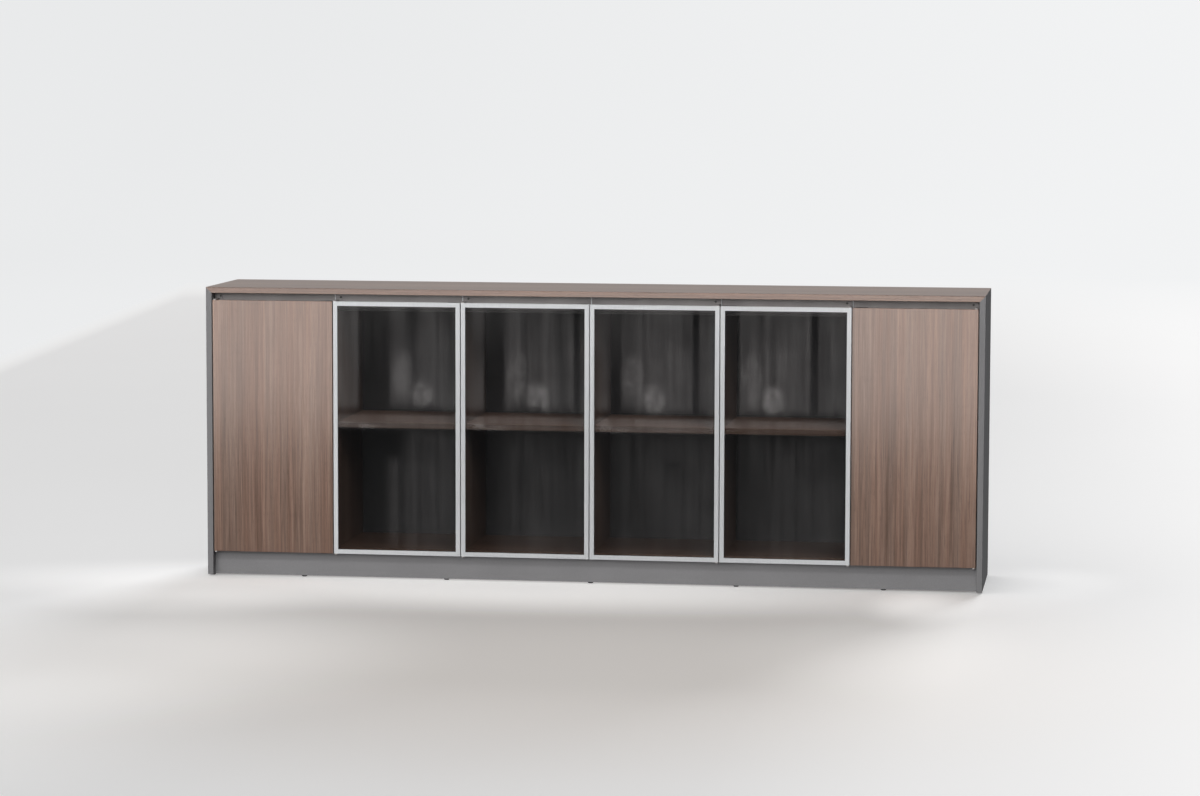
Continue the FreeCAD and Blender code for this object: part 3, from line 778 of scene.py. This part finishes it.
glazing = {  # finishes, slot, eased edge, and which finish a face takes
    "frame": (["aluminiumUpright", "aluminiumLevel"], "frame_aluminium", 0.12 * mm, memberFinish),
    "glass": (["glass"], "smoked_glass", 0.4 * mm, None),
    "gasket": (["gasket"], "gasket_rubber", 0.25 * mm, None),
}
for door in glazedDoors:
    for part, (used, slot, ease, choose) in glazing.items():
        node = door + "_" + part
        settle(refined(node, used, ease, choose=choose), door, node)
print("glazed doors:", len(glazedDoors))

# Fixings and fittings that repeat. Where each one is comes from its CAD solid.

fixings = {
    "headRadius": 3.5 * mm,
    "headDepth": 2.0 * mm,
    "shankRadius": 1.75 * mm,
    "shankSides": 16,
    "camRadius": 7.4 * mm,
    "glideRadius": 8.0 * mm,
    "bumperRadius": 3.5 * mm,
    "pinHeadRadius": 3.0 * mm,
    "freeTurn": 1.57,
    "seed": 7,
}
profiles = {  # radius and height, for a piece one unit in both
    "screwHead": [(0.5, -0.571), (0.98, -0.03), (1, 0), (0.96, 0)],
    "camHead": [(0, 0), (1, 0), (1, 0.965), (0.95, 1), (0.84, 1), (0.82, 0.985), (0.8, 0.985)],
    "glideShape": [(0, 0), (1, 0), (1, 0.72), (0.96, 0.9), (0.88, 1), (0.34, 1), (0.3, 0.94),
                   (0.28, 0.7), (0, 0.7)],
    "bumperShape": [(0, 0), (0.98, 0), (1, 0.06), (1, 0.55), (0.94, 0.76), (0.76, 0.91),
                    (0.45, 0.98), (0, 1)],
    "pinShape": [(0, 0), (0.5, 0), (0.583, 0.03), (0.583, 0.928), (1, 0.928), (1, 0.955), (0.86, 0.976),
                 (0.5, 0.994), (0, 1)],
}
sideCounts = {"screwHead": 20, "camHead": 28, "glideShape": 32, "bumperShape": 24, "pinShape": 24}
recesses = {  # the cross in a head: arm, half width, depth, and how far its foot narrows
    "screwHead": (0.6, 0.13, 0.42, 0.55),
    "camHead": (0.54, 0.08, 0.11, 0.92),
}
xWay, yWay, zWay = Vector((1, 0, 0)), Vector((0, 1, 0)), Vector((0, 0, 1))


def spotsOf(node, wayOf, headDepth=0.0, fromHead=False):
    spots = []  # for each solid its seat, or its head's face, the way it faces and its length
    for low, high in solidsOf(node):
        way = wayOf(low, high)
        i = max(range(3), key=lambda k: abs(way[k]))
        place = (low + high) / 2
        place[i] = (high if (way[i] > 0) == fromHead else low)[i]
        spots.append((tuple(place), tuple(way), high[i] - low[i] - headDepth))
    return spots


def bracketWay(low, high):
    return -zWay if high.z - low.z > high.y - low.y else -yWay


def camWay(low, high):
    return -xWay if high.x - low.x < high.z - low.z else -zWay


def pinWay(low, high):
    return zWay if low.z > 0.5 else -zWay


screwSets = {  # which way the heads face, and finish
    "back_panel_screws": (lambda low, high: yWay, "steel"),
    "bracket_screws": (bracketWay, "coatedDark"),
}
studSets = {  # way, shape, radius, finish and slot
    "cam_locks": (camWay, "camHead", "camRadius", "steel", "steel_fittings"),
    "floor_glides": (lambda low, high: -zWay, "glideShape", "glideRadius", "black", "nylon"),
    "door_bumpers": (lambda low, high: -yWay, "bumperShape", "bumperRadius", "bumper", "clear_bumper"),
    "hinge_pins": (pinWay, "pinShape", "pinHeadRadius", "coatedDark", "steel_fittings"),
}


def makeFixings():
    f = fixings
    shapes = {n: turnedTemplate(n, profiles[n], sideCounts[n], recesses.get(n)) for n in profiles}
    studs, screws = studTree(), screwTree()
    sizes = {k: f[k] for k in ("headRadius", "headDepth", "shankRadius", "seed")}
    made = []
    for node, (way, finish) in screwSets.items():
        spots = spotsOf(node, way, f["headDepth"], True)
        piece = spread(pieceName(node), screws, spots, finish, shape=shapes["screwHead"],
                       turn=f["freeTurn"], **sizes)
        made.append((node, "steel_fittings", piece))
    for node, (way, shape, radius, finish, slot) in studSets.items():
        spots = spotsOf(node, way)
        piece = spread(pieceName(node), studs, spots, finish, shape=shapes[shape], radius=f[radius],
                       height=spots[0][2], turn=0.0, seed=f["seed"])
        made.append((node, slot, piece))
    for shape in shapes.values():
        bpy.data.objects.remove(shape)
    for node, slot, piece in made:
        settle(piece, "carcass", node)
    print("fixings:", sum(len(solidsOf(node)) for node, _, _ in made))


makeFixings()

# Fittings that follow their CAD solids, with eased edges

shortestEdge = 3 * mm  # a shorter one stays sharp
fittings = {  # finishes, slot and eased edge
    "grip_channels": (["coated", "coatedDark"], "recess_channel", 0.3 * mm),
    "channel_clips": (["clip"], "bright_clip", 0.25 * mm),
    "hinge_brackets": (["coated"], "recess_channel", 0.3 * mm),
    "shelf_pins": (["steel"], "steel_fittings", 0.25 * mm),
    "magnetic_catches": (["black", "magnet"], "black_plastic", 0.5 * mm),
}
lipTop = 836.5 * mm
magnetLength = 33 * mm
zones = {  # the faces with a fitting's second finish: the recess's lip, drawn darker as painted shade, and the magnets
    "grip_channels": lambda low, high, face: int(face.calc_center_median().z < lipTop),
    "magnetic_catches": lambda low, high, face: int(high.x - low.x < magnetLength),
}
strikePlate = {"ease": 0.2 * mm, "finish": "steel"}
for node, (used, slot, ease) in fittings.items():
    settle(refined(node, used, ease, shortestEdge, zones.get(node)), "carcass", node)
for door in doorNames:
    node = door + "_strike_plate"
    settle(refined(node, [strikePlate["finish"]], strikePlate["ease"]), door, node)

# Hidden parts whose CAD shape is right keep it, with their own finishes

hidden = {"cam_bolts": "steel", "dowels": "beech"}
hidden.update({n: "nylon" for n in nodes if n.endswith(("_corner_fittings", "_pivot_bushes"))})
for node, finish in hidden.items():
    for slot in nodes[node].material_slots:
        slot.material = finishes[finish]
print("fittings:", len(fittings) + len(doorNames), "and", len(hidden), "hidden parts")

# Camera

shot = {
    "sensor": 36.0,
    "lens": 108.15,
    "clip": (0.1, 200.0),
    "place": (1.649, -11.025, 1.606),
    "yaw": 8.49,
    "pitch": 5.38,
    "roll": -0.138,
}


def makeCamera():
    yaw, pitch, roll = (math.radians(shot[k]) for k in ("yaw", "pitch", "roll"))
    ahead = Vector((-math.sin(yaw) * math.cos(pitch), math.cos(yaw) * math.cos(pitch), -math.sin(pitch)))
    right = Vector((math.cos(yaw), math.sin(yaw), 0))
    down = ahead.cross(right)
    c, s = math.cos(roll), math.sin(roll)
    right, down = c * right + s * down, c * down - s * right
    data = bpy.data.cameras.new("mainView")
    data.sensor_width, data.lens = shot["sensor"], shot["lens"]
    data.clip_start, data.clip_end = shot["clip"]
    camera = linked(data.name, data)
    turn = Matrix((right, -down, -ahead)).transposed().to_4x4()
    camera.matrix_world = Matrix.Translation(shot["place"]) @ turn
    bpy.context.scene.camera = camera


makeCamera()
print("camera: ready")

# Room: a pale floor that runs up into a wall all round, a soft sky, and soft lights

room = {
    "floorRadius": 18.0,
    "rings": (0, 2, 6, 12),
    "sides": 96,
    "bendStep": 6,
    "curve": 6.0,
    "wallTop": 16.0,
    # the floor's colour is painted lighter to the right, where more light falls
    "floorLeft": (0.862, 0.85, 0.838, 1.0),
    # the floor glows with painted light: evenly a little, more to the right and far off
    "floorRight": (0.94, 0.932, 0.925, 1.0),
    "floorGlow": 0.045,
    "glowRight": (0.7, 1.9, 0.15),
    "glowFar": (5.0, 12.0, 0.04),
    "fadeAcross": (-2.5, 1.0),
    "fadeLeft": (13.2, 15.0),
    "fadeRight": (6.5, 16.0),
    # a painted shadow edge: beyond a slanted line on the left the floor glows like the wall
    "edge": (0.106, 3.48, 0.12, 3.5, 6.0),  # slant, place, softness, and where it starts along Y
    "pools": (  # place, reach and glow of painted pools of light that lift the cast shadow
        ((-0.25, -0.3), (1.9, 0.65), 0.38), ((-1.05, -1.7), (1.0, 1.3), 0.21),
        ((-1.5, -2.8), (1.2, 1.3), 0.12), ((-1.15, -0.72), (0.55, 0.36), 0.13),
        ((0.95, -1.3), (0.5, 0.9), 0.06), ((0.25, -1.6), (1.7, 1.4), 0.06),
        ((1.03, -0.5), (0.2, 0.42), 0.2), ((1.38, 0.05), (0.32, 0.45), 0.1)),
    "warm": ((0.2, -1.7), (2.0, 2.2), (1.0, 0.955, 0.915, 1.0)),  # place, reach and tint of painted warm shade where the cast shadow lies
    "bounce": 0.62,
    "wallLeft": (0.815, 0.823, 0.83, 1.0),
    "wallRight": (0.91, 0.918, 0.925, 1.0),
    "sky": 0.7,
    "darkRight": (0.08, 0.62, 0.0),
    "glossSky": 0.8,
    "glossFloor": 0.5,
    "darkBand": (-0.19, -0.16, 0.0, 0.23),
}
lights = {
    "backLight": {"strength": 2.9, "softness": 20.0, "azimuth": 10.9, "elevation": 17.5},
    "frontFill": {"place": (-1.5, -6.5, 2.8), "target": (0, 0, 0.5), "size": (6.0, 3.0), "power": 220.0},
    "highFill": {"place": (-0.3, -2.1, 2.2), "target": (-0.3, -0.2, 0.6), "size": (5.0, 0.5), "power": 40.0},
    "cellSun": {"strength": 1.75, "softness": 45.0, "azimuth": 139.0, "elevation": 36.0},
    "shelfSun": {"strength": 7.5, "softness": 45.0, "azimuth": 160.0, "elevation": 36.0},
    "hazePanel": {"place": (-0.2, -1.4, 1.3), "target": (-0.2, 0, 1.3), "size": (7.0, 1.9), "power": 195.0},
    "edgeHaze": {"place": (-0.2, -1.4, 0.58), "target": (-0.2, 0, 0.58), "size": (7.0, 0.56), "power": 85.0},
    "frameGloss": {"place": (-0.2, -3.2, 0.9), "target": (-0.2, 0, 0.9), "size": (7.0, 2.5), "power": 14.0},
}
# the panes' painted reflection: a glowing card in front of them
paneGlow = {
    "front": -0.2,  # the doors' plane
    "ahead": 1.3,
    "high": 0.84,
    "upper": 0.6,  # a region that reaches above this has hard sides, as has one less tall than a strip
    "strip": 0.06,
    "curtain": (0.2, 0.95),  # a region wider and brighter than this has the blobs and the fold
    "tint": (1.0, 0.955, 0.94, 1.0),
    "blobs": (  # from the left, width, up, height, glow
        (0.038, 0.042, 0.33, 0.24, 0.95), (0.1, 0.042, 0.15, 0.15, 1.8)),
    "fold": 0.068,
    "regions": [  # from x, to x, from z, to z on the panes, and how bright, with the top wider than the foot
        (-0.62, -0.4015, 0.515, 0.89, 0.98), (-0.263, -0.05, 0.515, 0.89, 0.98),
        (-0.028, -0.0015, 0.515, 0.89, 0.85), (0.097, 0.315, 0.515, 0.89, 1.03),
        (0.337, 0.3985, 0.515, 0.89, 0.92), (0.46, 0.675, 0.515, 0.89, 1.12),
        (0.7, 0.7985, 0.515, 0.89, 1.0), (-0.791, -0.72, 0.515, 0.89, 1.3),
        (-0.389, -0.327, 0.515, 0.89, 0.86), (0.013, 0.064, 0.515, 0.89, 0.85),
        (0.42, 0.452, 0.515, 0.89, 0.25), (-0.719, -0.621, 0.62, 0.89, 0.6),
        (-0.326, -0.264, 0.62, 0.89, 0.6), (0.065, 0.096, 0.62, 0.89, 0.7),
        (0.4015, 0.419, 0.62, 0.89, 0.7), (-0.7915, -0.4015, 0.469, 0.5145, 1.12),
        (-0.3885, -0.0015, 0.469, 0.5145, 1.4), (0.0115, 0.3985, 0.469, 0.5145, 1.6),
        (0.4015, 0.7885, 0.469, 0.5145, 1.45), (-0.64, -0.52, 0.09, 0.39, 0.62),
        (-0.22, -0.06, 0.09, 0.39, 0.6), (0.23, 0.33, 0.1, 0.38, 0.55),
        (0.34, 0.43, 0.1, 0.38, 0.5), (0.68, 0.84, 0.11, 0.37, 0.6),
        (-0.6, -0.36, 0.05, 0.49, 0.42), (-0.32, 0.06, 0.05, 0.49, 0.36),
        (0.02, 0.46, 0.05, 0.49, 0.36), (0.4, 0.86, 0.05, 0.49, 0.36)],
}


black = (0.0, 0.0, 0.0, 1.0)


def stageObject(name, bm, material):
    made = linked(name, meshFrom(name, bm))
    made.data.materials.append(material)
    made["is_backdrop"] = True
    return made


def unseenBy(piece, *rays):
    for ray in rays:
        setattr(piece, "visible_" + ray, False)


# the wall's glow is painted light, lighter to the right, with soft cloudy patches
def wallTone(made):
    across = made.span(made.axis("X"), -7.0, 5.0)
    clouds = made.span(made.noise((0.2, 0.2, 0.2), 2.0), *bulk, -0.06, 0.06)
    return made.ramp(made.maths("ADD", across, clouds), (0.0, room["wallLeft"]), (1.0, room["wallRight"]))


def floorPaint():  # painted light: a faint glow, more to the right and far off, and painted pools of light in the cast shadow; far off it fades into the wall's glow, and on the left a painted shadow edge crosses it, with the floor glowing like the wall beyond it
    made = Finish("floorPaint", Roughness=0.9)
    made.shader.inputs["Specular IOR Level"].default_value = 0.0
    right, far = room["glowRight"], room["glowFar"]
    glow = made.maths("ADD", made.span(made.axis("X"), *right[:2], 0.0, right[2]),
                      made.span(made.axis("Y"), *far[:2], room["floorGlow"], room["floorGlow"] + far[2]))

    def near(spot, reach, most):
        offset = made.vector("SUBTRACT", made.place, (*spot, 0))
        away = made.node("ShaderNodeVectorMath", operation="LENGTH")
        made.feed(away.inputs[0], made.vector("MULTIPLY", offset, (1 / reach[0], 1 / reach[1], 0)))
        pool = made.node("ShaderNodeMapRange", interpolation_type="SMOOTHSTEP")
        for socket, value in zip(pool.inputs, (away.outputs["Value"], 0.15, 1.0, most, 0.0)):
            made.feed(socket, value)
        return pool.outputs["Result"]

    for pool in room["pools"]:
        glow = made.maths("ADD", glow, near(*pool))
    reach = made.node("ShaderNodeVectorMath", operation="LENGTH")
    made.feed(reach.inputs[0], made.place)
    start, end = (made.span(made.axis("X"), *room["fadeAcross"], *pair)
                  for pair in zip(room["fadeLeft"], room["fadeRight"]))
    fade = made.span(reach.outputs["Value"], start, end)
    slant, aside, soft, first, full = room["edge"]
    x, y = made.axis("X"), made.axis("Y")
    beyond = made.maths("ADD", made.maths("ADD", x, made.maths("MULTIPLY", y, slant)), aside)
    lit = made.maths("MULTIPLY", made.span(beyond, -soft, soft, 1.0, 0.0), made.span(y, first, full))
    fade = made.maths("MAXIMUM", fade, lit)
    glow = made.maths("MULTIPLY", glow, made.maths("SUBTRACT", 1.0, fade))
    made.feed(made.shader.inputs["Emission Strength"], made.maths("ADD", glow, fade))
    made.feed(made.shader.inputs["Emission Color"], made.blend(fade, (1, 0.99, 0.98, 1), wallTone(made)))
    clouds = made.noise((0.5, 0.5, 0.5), 2.0)
    share = made.maths("ADD", made.span(made.axis("X"), -4.0, 4.0), made.span(clouds, *bulk, -0.06, 0.06))
    # painted shade: warmer where the cast shadow lies
    spot, reach, tint = room["warm"]
    paint = made.ramp(share, (0.0, room["floorLeft"]), (1.0, room["floorRight"]))
    paint = made.blend(near(spot, reach, 1.0), paint, made.blend(1.0, paint, tint, "MULTIPLY"))
    made.colour(made.blend(fade, paint, black))
    return made.material


def wallGlow():  # the wall far off only shows behind the cabinet, and lights nothing
    made = Finish("wallGlow", Base_Color=black, Specular_IOR_Level=0.0, Emission_Strength=1.0)
    made.feed(made.shader.inputs["Emission Color"], wallTone(made))
    return made.material


def paneShine():  # a painted reflection: streaks and patches like window light, on a glowing card
    made = Finish("paneShine", Base_Color=black, Specular_IOR_Level=0.0, Emission_Color=paneGlow["tint"])
    level, foot, side, edge = (made.node("ShaderNodeAttribute", attribute_name=n).outputs["Fac"]
                               for n in ("level", "foot", "side", "edge"))
    streaks = made.span(made.noise((60.0, 1.0, 2.0), 5.0, 0.65), 0.36, 0.64, 0.35, 1.35)
    clouds = made.span(made.noise((9.0, 1.0, 9.0), 3.0), 0.35, 0.65, 0.75, 1.2)
    bright = made.maths("MULTIPLY", streaks, clouds)
    crumple = made.span(made.noise((75.0, 1.0, 60.0), 4.0, 0.65), 0.42, 0.62, 0.35, 1.5)
    for at, wide, up, tall, glow in paneGlow["blobs"]:
        aside = made.maths("DIVIDE", made.maths("SUBTRACT", side, at), wide)
        above = made.maths("DIVIDE", made.maths("SUBTRACT", foot, up), tall)
        away = made.maths("ADD", made.maths("MULTIPLY", aside, aside), made.maths("MULTIPLY", above, above))
        blob = made.span(away, 0.25, 1.0, glow, 0.0)
        bright = made.maths("ADD", bright, made.maths("MULTIPLY", blob, crumple))
    sway = made.span(made.noise((0.0, 1.0, 5.0), 2.0), 0.0, 1.0, -0.01, 0.01)
    fold = made.maths("ABSOLUTE", made.maths("SUBTRACT", made.maths("ADD", side, sway), paneGlow["fold"]))
    bright = made.maths("MULTIPLY", bright, made.span(fold, 0.002, 0.005, 0.45, 1.0))
    ragged = made.maths("ADD", foot, made.span(made.noise((40.0, 1.0, 1.0), 3.0), *bulk, -0.03, 0.03))
    bright = made.maths("MULTIPLY", bright, made.span(ragged, 0.02, 0.09))
    bright = made.maths("MULTIPLY", bright, made.span(ragged, 1.0, 0.88))
    bright = made.maths("MULTIPLY", bright, made.span(edge, 1.0, 0.55))
    made.feed(made.shader.inputs["Emission Strength"], made.maths("MULTIPLY", bright, level))
    return made.material


def makeRoom():
    r, c = room["floorRadius"], room["curve"]
    turns = [math.radians(a) for a in range(0, 91, room["bendStep"])]
    bend = [(r + c * math.sin(a), c - c * math.cos(a)) for a in turns]
    made = []
    for name, profile, paint in (("floor", [(x, 0) for x in (*room["rings"], r)], floorPaint()),
                                 ("wall", bend + [(r + c, room["wallTop"])], wallGlow())):
        bm = bmesh.new()
        addLathe(bm, profile, room["sides"])
        made.append(stageObject(name, bm, paint))
    floor, wall = made
    unseenBy(floor, "glossy", "diffuse", "shadow")  # the lower sky stands in for its bounce
    unseenBy(wall, "glossy", "diffuse", "shadow", "transmission")


def makePaneGlow():  # a glowing card, painted with a reflection, that only the panes mirror
    eye, front, ahead = shot["place"], paneGlow["front"], paneGlow["ahead"]
    share = ahead / (front - eye[1])
    upper, (broad, strong) = paneGlow["upper"], paneGlow["curtain"]
    bm = bmesh.new()
    names = ("level", "foot", "side", "edge")
    for name in names:
        bm.verts.layers.float.new(name)
    layers = [bm.verts.layers.float[name] for name in names]
    for left, right, low, high, bright in paneGlow["regions"]:
        sharp = high > upper or high - low < paneGlow["strip"]
        start = left if right - left > broad and bright > strong else left - 1.0
        steps = [left + (right - left) * k / 2 for k in range(3)]
        rows = []
        for x in steps:
            row = []
            for z, up in ((low, 0.0), (high, 1.0)):
                vert = bm.verts.new((x + share * (x - eye[0]), front - ahead, z + share * (z - eye[2])))
                aside = 0.0 if sharp or x == steps[1] else 1.0
                level = 0.0 if z == low > upper else bright * paneGlow["high"]  # the upper fade downwards
                for layer, value in zip(layers, (level, up, x - start, aside)):
                    vert[layer] = value
                row.append(vert)
            rows.append(row)
        for a, b in zip(rows, rows[1:]):
            bm.faces.new((a[0], b[0], b[1], a[1]))
    card = stageObject("paneCard", bm, paneShine())
    unseenBy(card, "camera", "shadow", "diffuse", "transmission")
    panes = bpy.data.collections.new("panes")
    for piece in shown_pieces():
        if piece.name.endswith("Glass"):
            panes.objects.link(piece)
    card.light_linking.receiver_collection = panes


def makeSky():  # soft and even, but for gloss it has a dark band at eye level, as panes are lit in a studio
    world = bpy.data.worlds.new("sky")
    bpy.context.scene.world = world
    world.use_nodes = True
    tree = world.node_tree
    background = next(n for n in tree.nodes if n.type == "BACKGROUND")
    background.inputs["Color"].default_value = (1, 1, 1, 1)
    add = adder(tree)

    def span(value, low, high, toLow, toHigh):
        made = add("ShaderNodeMapRange")
        for key, number in zip(("From Min", "From Max", "To Min", "To Max"), (low, high, toLow, toHigh)):
            made.inputs[key].default_value = number
        tree.links.new(value, made.inputs["Value"])
        return made.outputs["Result"]

    path = add("ShaderNodeLightPath")
    split = add("ShaderNodeSeparateXYZ")
    tree.links.new(add("ShaderNodeTexCoord").outputs["Generated"], split.inputs["Vector"])
    near, far, least = room["darkRight"]
    aside = span(split.outputs["X"], near, far, 1.0, least)
    level = span(split.outputs["Z"], -0.02, 0.02, room["bounce"], room["sky"])
    soft = add("ShaderNodeMath", operation="MULTIPLY")
    tree.links.new(aside, soft.inputs[0])
    tree.links.new(level, soft.inputs[1])
    low, dark, clear, high = room["darkBand"]
    below = span(split.outputs["Z"], low, dark, room["glossFloor"], 0.0)
    above = span(split.outputs["Z"], clear, high, 0.0, room["glossSky"])
    both = add("ShaderNodeMath", operation="ADD")
    tree.links.new(below, both.inputs[0])
    tree.links.new(above, both.inputs[1])
    choose = add("ShaderNodeMix")
    tree.links.new(path.outputs["Is Glossy Ray"], choose.inputs["Factor"])
    tree.links.new(soft.outputs["Value"], choose.inputs["A"])
    tree.links.new(both.outputs["Value"], choose.inputs["B"])
    tree.links.new(choose.outputs["Result"], background.inputs["Strength"])


def addLamp(name, kind, energy, place, target):
    lamp = linked(name, bpy.data.lights.new(name, kind))
    lamp.data.energy = energy
    lamp.location = place
    lamp.rotation_euler = (Vector(target) - Vector(place)).to_track_quat("-Z", "Y").to_euler()
    lamp.visible_camera = False
    return lamp


def addSun(name):
    given = lights[name]
    a, e = math.radians(given["azimuth"]), math.radians(given["elevation"])
    place = (10 * math.sin(a) * math.cos(e), 10 * math.cos(a) * math.cos(e), 10 * math.sin(e))
    lamp = addLamp(name, "SUN", given["strength"], place, (0, 0, 0))
    lamp.data.angle = math.radians(given["softness"])
    lamp.visible_glossy = False
    return lamp


def addPanel(name):
    given = lights[name]
    lamp = addLamp(name, "AREA", given["power"], given["place"], given["target"])
    lamp.data.shape = "RECTANGLE"
    lamp.data.size, lamp.data.size_y = given["size"]
    lamp.visible_glossy = name in ("hazePanel", "edgeHaze", "frameGloss")
    lamp.visible_diffuse = not lamp.visible_glossy
    lamp.visible_transmission = False
    return lamp


def makeLights():
    addSun("backLight").data.color = (0.97, 1.0, 1.04)
    receivers = {
        "frontFill": lambda name: not name.startswith(("shelf", "divider")),
        "highFill": lambda name: True,
        "cellSun": lambda name: name.startswith(("divider", "bottom")),
        "shelfSun": lambda name: name.startswith("shelf"),
        "hazePanel": lambda name: name in ("door1Panel", "door6Panel"),
        "edgeHaze": lambda name: name == "topPanel",  # low enough to meet only its front edge
        "frameGloss": lambda name: name.endswith("Frame"),
    }
    for name, wanted in receivers.items():
        lit = bpy.data.collections.new(name + "Pieces")
        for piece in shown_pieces():
            if wanted(piece.name):
                lit.objects.link(piece)
        lamp = addSun(name) if "softness" in lights[name] else addPanel(name)
        lamp.light_linking.receiver_collection = lit


makeRoom()
makePaneGlow()
makeSky()
makeLights()
bpy.context.scene.view_settings.view_transform = "Standard"
print("room and lights: ready")
